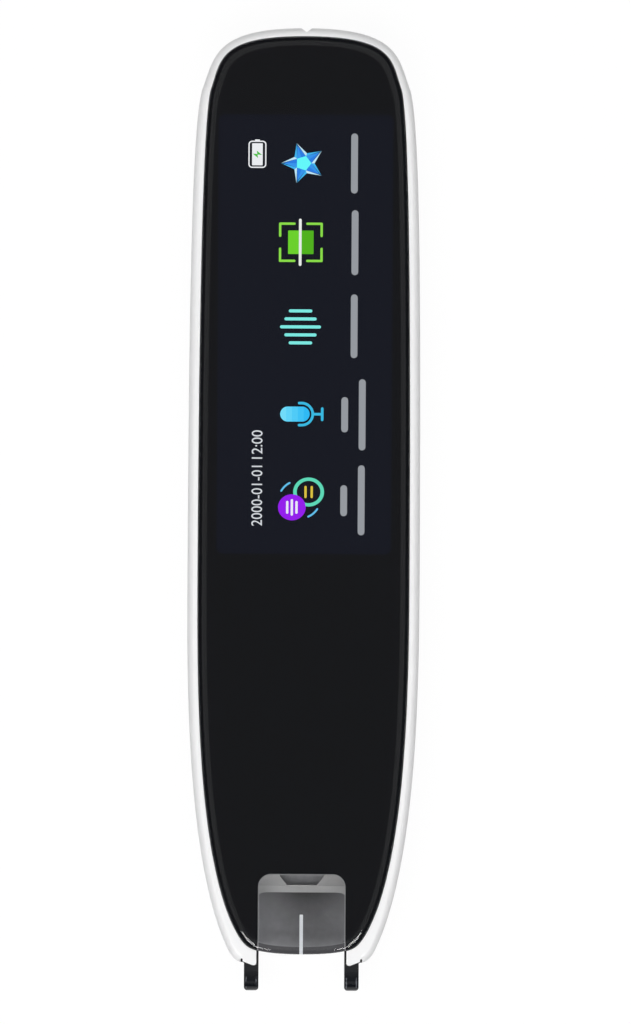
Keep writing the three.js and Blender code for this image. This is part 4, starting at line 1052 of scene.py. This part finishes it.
def return_spring(side):
    """A wound spring with a closed coil at each end."""
    node = f"fork_spring_{side}"
    low, high = corners(node)
    middle = middle_of(node)
    length = high.y - low.y
    radius = (high.x - low.x - SPRING_WIRE) / 2
    pitch = (length - 3 * SPRING_WIRE) / SPRING_CURLS
    points = []
    for step in range((SPRING_CURLS + 2) * COIL_STEPS + 1):
        turn = step / COIL_STEPS
        open_turns = min(max(turn - 1, 0), SPRING_CURLS)
        closed_turns = turn - open_turns
        y = low.y + SPRING_WIRE / 2 + closed_turns * SPRING_WIRE + open_turns * pitch
        angle = turn * math.tau
        points.append((middle.x + radius * math.cos(angle), y, middle.z + radius * math.sin(angle)))
    spring = smoothed(sweep(f"return_spring_{side}", points, SPRING_WIRE / 2))
    fix_mesh(spring)
    dress(spring, "steel", node)
    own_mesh(spring)


def power_key():
    """The key's cap, rounded at its face, with the flange behind the wall and the stem."""
    plunger_end = corners("power_plunger")[1].x
    cap_x = key_low.x + KEY_STEM / 2
    middle = middle_of("power_button")
    cap = prism("power_key", key_outline(0), cap_x, key_high.x, "x")
    round_edges(cap, KEY_EDGE)
    stem_y = span(middle.y, KEY_STEM / 2)
    stem_z = span(middle.z, (key_high.z - key_low.z) / 4)
    join(
        cap,
        box("flange", (cap_x, cap_x + KEY_FLANGE), (key_low.y, key_high.y), (key_low.z, key_high.z)),
        box("stem", (plunger_end, cap_x + WELD), stem_y, stem_z),
    )
    dress(smoothed(cap), "white_key", "power_button", on="power_key")


def smooth_line(points):
    """A line that eases through its points, as the solids' leads do."""
    points = [Vector(point) for point in points]
    ends = [2 * points[0] - points[1], *points, 2 * points[-1] - points[-2]]
    line = [points[0]]
    for i in range(1, len(ends) - 2):
        a, b, c, d = ends[i - 1:i + 3]
        third = (c - b).length / 3
        leave = b + (c - a).normalized() * third
        back = c - (d - b).normalized() * third
        line += bezier(b, leave, back, c, LEAD_STEPS)
    return line


def lead(name, color, points):
    wire = sweep(f"wire_to_{name}_{color}", smooth_line(points), LEAD_RADIUS)
    dress(smoothed(wire), f"wire_{color}", f"{name}_lead_{color}")


def battery_leads():
    """From the battery's plug down to its guard."""
    plug = middle_of("battery_plug")
    for color, side in (("red", 1), ("black", -1)):
        low, high = corners(f"battery_lead_{color}")
        x = plug.x + side * LEAD_PITCH / 2
        path = []
        for t in (0, 1 / 3, 2 / 3, 1):
            eased = t * t * (3 - 2 * t)
            z = high.z - LEAD_RADIUS - eased * (high.z - low.z - 2 * LEAD_RADIUS)
            path.append((x, low.y + t * (high.y - low.y), z))
        lead("battery", color, path)


def speaker_leads():
    """Along the right of the cell, from the loudspeaker to the pads on the board."""
    board_high = corners("main_board")[1]
    half_row = (speaker_low.y - cell_high.y) / 2
    wire_x = corners("speaker_lead_red")[1].x - LEAD_RADIUS
    wire_z = plate_z - LEAD_PITCH - SEAT_FIT - LEAD_RADIUS / 2
    middle = (speaker_low.y + speaker_high.y) / 2
    for color, level in (("red", 1), ("black", -1)):
        z = wire_z + level * LEAD_PITCH / 2
        start = (speaker_high.x + SEAT_FIT, middle + level * LEAD_PITCH, z)
        pad_y = board_high.y - LEAD_PITCH * (level + 2)
        lead("speaker", color, [
            start, (start[0] + LEAD_RADIUS, start[1], z), (wire_x - LEAD_PITCH, speaker_low.y, z),
            (wire_x, speaker_low.y - half_row, z), (wire_x, cell_high.y, z), (wire_x, cell_low.y, z),
            (wire_x, cell_low.y - half_row, z), (wire_x - LEAD_RADIUS / 2, board_high.y, z),
            (wire_x - LEAD_PITCH, pad_y, board_high.z + LEAD_RADIUS + RUN_FIT),
        ])


# The optical chassis seen through the tip window


def light_scoop():
    """The light-grey scoop: coved sides, a sloped face and the camera's funnel through it."""
    half = scoop_high.x
    front = scoop_low.y + COVE_LENGTH
    cove = bend((half, scoop_low.y), (half, front), (half - COVE_WIDTH, front))
    plan = mirrored([(half, scoop_high.y), *[tuple(point) for point in cove]])
    lip_z = scoop_low.z + SCOOP_LIP_HEIGHT
    side = [
        (scoop_low.y, scoop_low.z), (scoop_high.y, scoop_low.z), (scoop_high.y, scoop_high.z),
        (window_top_y, scoop_high.z), (front + SCOOP_LIP, lip_z), (scoop_low.y, lip_z),
    ]
    scoop = prism("light_scoop", plan, scoop_low.z, top_z)
    keep_common(scoop, prism("scoop_side", side, -half, half, "x"))
    funnel_y = window_top_y - FUNNEL_START
    funnel = mirrored([
        (FUNNEL_NARROW, funnel_y - FUNNEL_LENGTH), (FUNNEL_WIDE, funnel_y),
        (FUNNEL_WIDE, scoop_high.y + OVERRUN),
    ])
    cut(scoop, prism("funnel", funnel, *through_z))
    round_edges(scoop, MOULD_EDGE)
    pockets = []
    for lamp in ("lamp_left", "lamp_right"):
        low, high = corners(lamp)
        fit = SEAT_FIT / 2
        x, z = [(low[axis] - fit, high[axis] + fit) for axis in (0, 2)]
        pockets.append(box("pocket", x, (low.y - fit, high.y), z))
    cut(scoop, *pockets)
    dress(smoothed(scoop), "grey_plastic", "light_diffuser")


def camera_lens():
    """The camera's barrel and the glass set back in it."""
    low, high = corners("lens_barrel")
    middle = middle_of("lens_barrel")
    radius = (high.x - low.x) / 2
    bore = radius - BARREL_RIM
    foot = (middle.x, low.y, middle.z)
    profile = [(bore, BARREL_RECESS), (bore, 0), (radius, 0), (radius, high.y - low.y)]
    barrel = round_edges(turned("barrel", foot, profile, "y"), MOULD_EDGE)
    dress(smoothed(barrel), "dark_plastic", "lens_barrel")
    rim = bore - RUN_FIT
    profile = []
    for step in range(1, ARC_STEPS + 1):
        angle = step / ARC_STEPS * QUARTER
        dome = LENS_DOME * (1 - math.cos(angle))
        profile.append((rim * math.sin(angle), BARREL_RECESS - LENS_BULGE + dome))
    profile.append((rim, BARREL_RECESS))
    dress(smoothed(turned("camera_glass", foot, profile, "y")), "glass", "lens_glass")


# The glass, what is printed under it and the picture on the display


def cover_pane():
    """Clear glass with a polished edge; its upright sides are blackened."""
    levels = [(glass_z, 0), *rounded_top(top_z, EDGE_ROUND, EDGE_DROP), (top_z, EDGE_ROUND + EDGE_REST)]
    glass = loft("cover_pane", pane, levels, [1] + [0] * (EDGE_STEPS + 1))
    dress(smoothed(glass), "glass", "cover_glass")
    glass.data.materials.append(finishes["ink"])


def edge_gasket():
    """The black rubber that the glass lies on, with a lip that fills the gap round it."""
    up = through_z[1]
    lip = loft("edge_gasket", pane, upright(ledge_z, glass_z + GASKET_RISE, -GASKET_LIP))
    cut(
        lip,
        loft("glass_room", pane, upright(glass_z - WELD / 2, up, 0)),
        loft("inner_room", pane, upright(-OVERRUN, up, LEDGE_WIDTH - SEAT_FIT)),
        box("tip_room", span(0, hood_room), (tip_y - OVERRUN, plate_y), (-OVERRUN, glass_z)),
        mouth_cutter(),
    )
    dress(smoothed(lip), "rubber", "glass_gasket")


def window_edge(inset=0):
    """The tip window's outline, from past the tip up the right, over the top and down."""
    half = WINDOW_HALF - inset
    top = window_top_y - inset
    radius = WINDOW_CORNER - inset
    return mirrored([(half, glass_low.y - OVERRUN), *arc((half - radius, top - radius), radius, 0, 1)])


def ink_print():
    """The black print, open over the tip window, a grey line along that opening, and a dark band of painted
    shade along the glass's lower edge inside the window.
    """
    sheet = loft("ink_print", pane, upright(glass_z - PRINT_SINK, picture_z, INK_INSET))
    cut(sheet, prism("window", window_edge(), *through_z))
    dress(smoothed(sheet), "ink", "ink_mask")
    band = window_edge(-WINDOW_LINE / 2) + window_edge(WINDOW_LINE / 2)[::-1]
    line = prism("window_line", band, glass_z, picture_z + LAYER)
    keep_common(line, loft("pane_room", pane, upright(0, through_z[1], INK_INSET)))
    dress(smoothed(line), "ink", finish="window_line")
    # Painted shade along the glass's lower edge inside the window
    shade = loft("painted_edge_shade", pane, upright(glass_z, picture_z, LAYER))
    cut(shade, loft("above", pane, upright(0, through_z[1], PAINTED_EDGE_SHADE_WIDTH)))
    keep_common(shade, prism("window", window_edge(WINDOW_LINE / 2), *through_z))
    dress(smoothed(shade), "ink", finish="painted_edge_shade")


def aim_print():
    low, high = corners("aim_line")
    x = (low.x + AIM_TRIM, high.x - 2 * AIM_TRIM)
    outline = rounded_rectangle(x, (low.y, high.y - AIM_TRIM), AIM_TRIM)
    line = prism("aim_print", outline, glass_z - PRINT_SINK, picture_z + LAYER)
    dress(smoothed(line), "aim_print", "aim_line")


def picture(name, outline, finish, layer=2):
    """A flat shape of the picture, as thick as its layer is high."""
    shape = prism(name, outline, picture_z, picture_z + layer * LAYER)
    return dress(shape, "panel", finish=finish)


def stroke(points, width):
    """The outline of a line drawn with a round pen."""
    half = width / 2
    points = [Vector(point) for point in points]
    along = ways(points)
    right, left = [
        [point + Vector((way.y, -way.x)) * reach for point, way in zip(points, along)]
        for reach in (half, -half)
    ]
    start_turn, end_turn = [math.atan2(way.y, way.x) / QUARTER for way in (along[0], along[-1])]
    return (
        right[1:-1] + arc(points[-1], half, end_turn - 1, end_turn + 1)
        + left[-2:0:-1] + arc(points[0], half, start_turn + 1, start_turn + 3)
    )


def around(centre, points):
    return [(centre[0] + x, centre[1] + y) for x, y in points]


def draw(name, lines, width, finish, layer=2):
    """Numbered strokes."""
    for i, line in enumerate(lines):
        picture(f"{name}_{i + 1}", stroke(line, width), finish, layer)


# What the display shows: places, half sizes, radii and widths of strokes, all in millimetres
BATTERY = (-7.85, 57.35)
BATTERY_HALF = (1.45, 2.2)
BATTERY_FILL = (0.86, 1.78)
BATTERY_STROKE = 0.2
BOLT = ((-0.75, 0.1), (0.1, -0.6), (0.02, -0.05), (0.75, -0.1), (-0.1, 0.6), (-0.02, 0.05))
SQUEEZE = 0.94
STAR = (-0.4, 55.95)
STAR_RADIUS = 3.6
STAR_ARMS = 5
STAR_WAIST_SHARE = 0.5
STAR_HEART_SHARE = 0.36
STAR_ARM_SHARE = 0.9
SHEET = (-0.75, 43.17)
SHEET_HALF = (2.06, 1.9)
BRACKET_HALF = (3.35, 3)
BRACKET_ARM = (2.3, 1.95)
BRACKET_STROKE = 0.38
SCAN_LINE_HALF = 3.6
SCAN_LINE_STROKE = 0.44
SCAN_LINE_SHIFT = -0.1
BARS = (-0.73, 29.5)
BAR_PITCH = 1.29
BAR_LENGTHS = (3.8, 5.2, 6.62, 5.2, 3.8)
BAR_STROKE = 0.5
MIC_HEAD = (-1.55, 15.41)
MIC_HEAD_HALF = (2.38, 1.21)
MIC_CRADLE = (-0.45, 15.41)
MIC_CRADLE_RADIUS = 1.78
MIC_STROKE = 0.42
MIC_FOOT = (2.86, 0.9)
DISC = (-1.96, 0.34)
DISC_RADIUS = 2.24
DISC_STROKES = ((-0.75, 0.85), (0, 1.15), (0.75, 0.85))
RING = (0.735, 2.83)
RING_RADIUS = 2.5
RING_WIDTH = 0.58
RING_STROKES = ((-0.5, 0.8), (0.5, 0.8))
SYMBOL_STROKE = 0.38
DASH_STROKE = 0.3
DASHES = (((-3.69, 2.99), (-3.2, 3.85), (-2.34, 4.28)), ((0.69, -1.15), (1.6, -0.75), (2.14, 0.08)))
LABELS = (
    (7.85, 51.1, 60.8), (8.0, 37.9, 48.4), (7.94, 24.5, 34.8), (6.49, 12.5, 18.2),
    (9.32, 9.6, 21.1), (6.41, -1.05, 3.96), (9.24, -4.12, 7.19),
)
LABEL_STROKE = 1.1
CLOCK_X = (-8.5, -6.76)
CLOCK = (("2000-01-01", (-2.67, 7.03)), ("12:00", (8.16, 12.76)))


def battery_sign():
    line = BATTERY_STROKE
    half_x, half_y = BATTERY_HALF
    outer = pad(BATTERY, BATTERY_HALF, 3 * line)
    inner = pad(BATTERY, (half_x - line, half_y - line), 2 * line)
    nub = pad((BATTERY[0], BATTERY[1] + half_y + line / 2), (2 * line, line / 2), line / 3)
    picture("battery_case", outer + [outer[0], inner[0]] + inner[::-1], "sign_white")
    picture("battery_fill", pad(BATTERY, BATTERY_FILL, line / 2), "sign_white")
    picture("battery_nub", nub, "sign_white")
    picture("battery_bolt", around(BATTERY, BOLT), "bolt_green", 3)


def star_sign():
    """A star cut like a gem: each arm a ridge of two blues between a pale and a bright slope."""

    def place(share, turn):
        angle = turn * QUARTER
        reach = STAR_RADIUS * share
        return (STAR[0] + reach * math.cos(angle), STAR[1] + SQUEEZE * reach * math.sin(angle))

    heart = []
    for k in range(STAR_ARMS):
        turn = 2 + k * 4 / STAR_ARMS
        before, after = span(turn, 2 / STAR_ARMS)
        tip, ridge = place(1, turn), place(STAR_ARM_SHARE, turn)
        base = place(STAR_HEART_SHARE * math.cos(math.pi / STAR_ARMS), turn)
        left, right = place(STAR_HEART_SHARE, before), place(STAR_HEART_SHARE, after)
        heart.append(left)
        for tone, points, layer in (
            ("star_pale", [left, place(STAR_WAIST_SHARE, before), tip], 2),
            ("star_bright", [right, tip, place(STAR_WAIST_SHARE, after)], 2),
            ("star_deep", [left, ridge, base], 3), ("star_blue", [base, ridge, right], 3),
        ):
            picture(f"{tone}_{k + 1}", points, tone, layer)
    picture("star_heart", heart, "star_heart", 4)


def frame_sign():
    """Four corner brackets round a sheet, with a scan line across."""
    half_x, half_y = BRACKET_HALF
    for i, (side_x, side_y) in enumerate(((-1, -1), (1, -1), (1, 1), (-1, 1))):
        corner = (side_x * half_x, side_y * half_y)
        across = (corner[0] - side_x * BRACKET_ARM[0], corner[1])
        along = (corner[0], corner[1] - side_y * BRACKET_ARM[1])
        for way, end in (("across", across), ("along", along)):
            arm = stroke(around(SHEET, [corner, end]), BRACKET_STROKE)
            picture(f"bracket_{i + 1}_{way}", arm, "frame_green")
    x, y = SHEET
    low, high = span(x, SHEET_HALF[0])
    for side, ends, tone in (("left", (low, x), "bright"), ("right", (x, high), "dim")):
        sheet = rounded_rectangle(ends, span(y, SHEET_HALF[1]), SYMBOL_STROKE / 4)
        picture(f"sheet_{side}", sheet, f"sheet_{tone}")
    line = [(x + SCAN_LINE_SHIFT, end) for end in span(y, SCAN_LINE_HALF)]
    picture("scan_line", stroke(line, SCAN_LINE_STROKE), "line_white", 4)


def sound_sign():
    lines = []
    for i, length in enumerate(BAR_LENGTHS):
        y = BARS[1] + (i - (len(BAR_LENGTHS) - 1) / 2) * BAR_PITCH
        lines.append([(x, y) for x in span(BARS[0], (length - BAR_STROKE) / 2)])
    draw("sound_bar", lines, BAR_STROKE, "bar_aqua")


def mic_sign():
    """A microphone on its stand, its head fading from pale to deep blue."""
    (x, y), (half_x, half_y) = MIC_HEAD, MIC_HEAD_HALF
    head = pad(MIC_HEAD, MIC_HEAD_HALF, half_y)
    for band in range(MIC_HEAD_BANDS):
        ends = [x - half_x + 2 * half_x * (band + k) / MIC_HEAD_BANDS for k in (0, 1)]
        shape = prism(f"mic_head_{band + 1}", head, picture_z, picture_z + 2 * LAYER)
        keep_common(shape, box("band", ends, span(y, half_y), through_z))
        dress(shape, "panel", finish=f"mic_head_{band + 1}")
    cx, cy = MIC_CRADLE
    bow = arc(MIC_CRADLE, MIC_CRADLE_RADIUS, -1, 1, 2 * ARC_STEPS)
    back = cx - MIC_STROKE
    foot_x, foot_half = MIC_FOOT
    for name, line in (
        ("cradle", [(back, bow[0][1]), *bow, (back, bow[-1][1])]),
        ("stem", [(cx + MIC_CRADLE_RADIUS, cy), (foot_x, cy)]),
        ("foot", [(foot_x, end) for end in span(cy, foot_half)]),
    ):
        picture(f"mic_{name}", stroke(line, MIC_STROKE), "mic_blue")


def pair_sign():
    """A disc and a ring, each with plain strokes, and two dashes round them."""
    steps = 4 * ARC_STEPS
    ring = arc((0, 0), RING_RADIUS, 0, 4, steps) + arc((0, 0), RING_RADIUS - RING_WIDTH, 4, 0, steps)
    disc = arc((0, 0), DISC_RADIUS, 0, 4, steps)[:-1]
    for name, centre, points, finish, layer in (
        ("pair_ring", RING, ring, "ring_green", 2), ("pair_disc", DISC, disc, "disc_purple", 4),
    ):
        picture(name, around(centre, [(x, y * SQUEEZE) for x, y in points]), finish, layer)
    for name, centre, places, layer in (
        ("disc_stroke", DISC, DISC_STROKES, 5), ("ring_stroke", RING, RING_STROKES, 3),
    ):
        lines = [around(centre, [(x, -half), (x, half)]) for x, half in places]
        draw(name, lines, SYMBOL_STROKE, name, layer)
    draw("pair_dash", [bend(*points) for points in DASHES], DASH_STROKE, "dash_blue")


def label_bars():
    half = LABEL_STROKE / 2
    lines = [[(x, low + half), (x, high - half)] for x, low, high in LABELS]
    draw("label", lines, LABEL_STROKE, "label_white")


def clock_figures():
    """Plain figures, read from tip to tail."""
    for i, (text, (start, end)) in enumerate(CLOCK):
        curve = bpy.data.curves.new("figures", "FONT")
        curve.body = text
        letters = new_object("figures", curve)
        flat = made_mesh(letters)
        bpy.data.objects.remove(letters)
        us = [vertex.co.x for vertex in flat.vertices]
        vs = [vertex.co.y for vertex in flat.vertices]
        wide = (end - start) / (max(us) - min(us))
        tall = (CLOCK_X[1] - CLOCK_X[0]) / (max(vs) - min(vs))
        z = picture_z + 2 * LAYER
        vertices = []
        for u, v in zip(us, vs):
            vertices.append((CLOCK_X[1] - (v - min(vs)) * tall, start + (u - min(us)) * wide, z))
        faces = [tuple(polygon.vertices) for polygon in flat.polygons]
        dress(mesh_object(f"figures_{i + 1}", vertices, faces), "panel", finish="clock_white")


def display_face():
    """The lit area itself, a shade bluer than the ink round it."""
    y = (panel_low.y + DRIVER_MARGIN, panel_high.y - PANEL_MARGIN)
    outline = rounded_rectangle(span(0, panel_high.x), y, PANEL_MARGIN)
    face = prism("display_face", outline, glass_z, picture_z + LAYER)
    dress(face, "panel", finish="display_glow")


# The solids that stay in view


def smooth_group():
    """A node group that smooths shading across edges flatter than the sharp angle."""
    group = bpy.data.node_groups.new("smooth_by_angle", "GeometryNodeTree")
    for way in ("INPUT", "OUTPUT"):
        group.interface.new_socket("Geometry", in_out=way, socket_type="NodeSocketGeometry")
    tree = Nodes(group, "")
    shade = "GeometryNodeSetShadeSmooth"
    angle = tree.node("GeometryNodeInputMeshEdgeAngle").outputs["Unsigned Angle"]
    sharp = tree.node("FunctionNodeCompare", {"A": angle, "B": math.radians(SHARP_ANGLE)})
    faces = tree.node(shade, {"Geometry": tree.node("NodeGroupInput")})
    inputs = {"Geometry": faces, "Selection": sharp, "Shade Smooth": False}
    tree.node("NodeGroupOutput", {"Geometry": tree.node(shade, inputs, domain="EDGE")})
    return group


SPECIAL_FINISH = {"speaker_mesh": "dust_mesh", "scan_hood": "chamber_painted_light"}


def finish_solids():
    """Every solid left in view gets its slot's finish, rounded edges and smooth shading."""
    smooth = smooth_group()
    for part in frame["record"]["subparts"]:
        solid = frame["nodes"][part["node"]]
        for place in solid.material_slots:
            place.material = finishes[SPECIAL_FINISH.get(part["node"], part["material_slot"])]
        if solid.hide_render:
            continue
        weld = solid.modifiers.new("weld", "WELD")
        weld.merge_threshold = LAYER * MM / 10
        add_bevel(solid, MOULD_EDGE / 2, 2)
        shade = solid.modifiers.new("shade", "NODES")
        shade.node_group = smooth


front_rim()
toe_shade_pieces()
back_shell()
scan_fork()
return_spring("left")
return_spring("right")
power_key()
battery_leads()
speaker_leads()
light_scoop()
camera_lens()
cover_pane()
edge_gasket()
ink_print()
aim_print()
display_face()
battery_sign()
star_sign()
frame_sign()
sound_sign()
mic_sign()
pair_sign()
label_bars()
clock_figures()
finish_solids()

# The stage: floor, lamps, world and camera

PHOTO_HEIGHT = 1024
PIXELS_PER_MM = 6.19
CAMERA_DISTANCE = 4
CAMERA_REACH = 100
CAMERA_SENSOR = 36
CAMERA_ROLL = 0.33
AXIS_LEFT_OF_MIDDLE = 11.55
MIDDLE_ABOVE_MIDDLE = 2.5
LAMP_DISTANCE = 1.9
FLOOR_HALF = 6000
FLOOR_TONE = 0.45
FLOOR_GLOW = 0.9
FLOOR_LEVEL = 1.065
BACKDROP_EDGE = (0.12, 0.34)
SKY_STOPS = (
    (0.0, 0.3), (0.2, 0.25), (0.35, 0.12), (0.78, 0.12),
    (0.85, 0.58), (0.985, 0.52), (0.994, 0.22), (1.0, 0.22),
)


def add_camera():
    data = bpy.data.cameras.new("camera")
    data.sensor_width = CAMERA_SENSOR
    data.lens = CAMERA_SENSOR * CAMERA_DISTANCE / (PHOTO_HEIGHT / PIXELS_PER_MM * MM)
    data.clip_end = CAMERA_REACH
    camera = new_object("camera", data)
    roll = math.radians(CAMERA_ROLL)
    offset = Vector((AXIS_LEFT_OF_MIDDLE, -MIDDLE_ABOVE_MIDDLE, 0)) / PIXELS_PER_MM * MM
    camera.location = Matrix.Rotation(roll, 3, "Z") @ offset
    camera.location.z = rim_z * MM + CAMERA_DISTANCE
    camera.rotation_euler = (0, 0, roll)
    bpy.context.scene.camera = camera
    bpy.context.scene.view_settings.view_transform = "Standard"


def sky_place(azimuth, lean):
    """A place above the pen by its azimuth from +X and its lean from straight up, both in degrees."""
    turn, tilt = math.radians(azimuth), math.radians(lean)
    flat = LAMP_DISTANCE * math.sin(tilt)
    return Vector((flat * math.cos(turn), flat * math.sin(turn), LAMP_DISTANCE * math.cos(tilt)))


def add_lamp(name, start, end, width, watts, in_gloss=False):
    """A soft panel from one place in the sky to another, aimed at the pen.

    A panel lights the surfaces, or it shows in their gloss.
    """
    start, end = sky_place(*start), sky_place(*end)
    middle = (start + end) / 2
    data = bpy.data.lights.new(name, "AREA")
    data.shape = "ELLIPSE"
    data.size, data.size_y = (end - start).length, width
    data.energy = watts
    lamp = new_object(name, data)
    lamp.location = middle
    back = middle.normalized()
    along = (end - start - back * back.dot(end - start)).normalized()
    lamp.rotation_euler = Matrix((along, back.cross(along), back)).transposed().to_euler()
    lamp.visible_camera = False
    lamp.visible_transmission = False
    lamp.visible_glossy = in_gloss
    lamp.visible_diffuse = not in_gloss


def add_floor():
    """A pale floor that keeps the object's shadow and is clear from below."""
    half = FLOOR_HALF
    places = [(-half, -half), (half, -half), (half, half), (-half, half)]
    floor = mesh_object("floor", [(x, y, -PRINT_RISE) for x, y in places], [(0, 1, 2, 3)])
    finish = Finish("floor")
    finish.made((FLOOR_TONE,) * 3 + (1,), 0.9, Specular_IOR_Level=0.1)
    share = finish.reckon("MULTIPLY", finish.seen_by("Camera", "Glossy", "Transmission"), FLOOR_GLOW)
    glow = finish.node("Emission", {"Strength": FLOOR_LEVEL})
    from_above = finish.blend(share, finish.shader, glow)
    below = finish.node("NewGeometry").outputs["Backfacing"]
    floor.data.materials.append(finish.show(finish.blend(below, from_above)))


def add_world():
    """A pale room with a white backdrop, whose ceiling is dimmer than its walls."""
    world = bpy.data.worlds.new("world")
    world.use_nodes = True
    bpy.context.scene.world = world
    sky = Nodes(world.node_tree)
    place = sky.node("TexCoord").outputs["Generated"]
    height = sky.node("SeparateXYZ", {0: place}).outputs["Z"]
    ramp = sky.node("ValToRGB", {0: height})
    stops = ramp.color_ramp.elements
    while len(stops) < len(SKY_STOPS):
        stops.new(0.5)
    for stop, (share, level) in zip(stops, SKY_STOPS):
        stop.position = share
        stop.color = (level, level, level, 1)
    shown = sky.seen_by("Glossy", "Transmission")
    backdrop = sky.reckon("MULTIPLY", shown, sky.spread(height, 1, 0, *BACKDROP_EDGE))
    seen = sky.reckon("MAXIMUM", backdrop, sky.seen_by("Camera"))
    level = sky.node("Mix", {0: seen, "A": ramp, "B": 1})
    background = sky.tree.nodes["Background"].inputs
    sky.put(background["Color"], (1, 1, 1, 1))
    sky.put(background["Strength"], level)


add_camera()
add_floor()
add_world()
# Each from its start to its end in the sky, with its width in metres and its power in watts
add_lamp("key", (240, 44), (240, 0), 1.4, 21)
add_lamp("fill", (305, 50), (305, 15), 1.2, 6)
add_lamp("back", (90, 78), (90, 48), 1.2, 5)
add_lamp("corner_left", (215, 30), (250, 32), 0.42, 6.1, in_gloss=True)
add_lamp("corner_right", (325, 30), (290, 32), 0.42, 6.1, in_gloss=True)
add_lamp("foot_left", (247, 39), (262, 47), 0.3, 3.2, in_gloss=True)
add_lamp("foot_right", (293, 39), (278, 47), 0.3, 3.2, in_gloss=True)
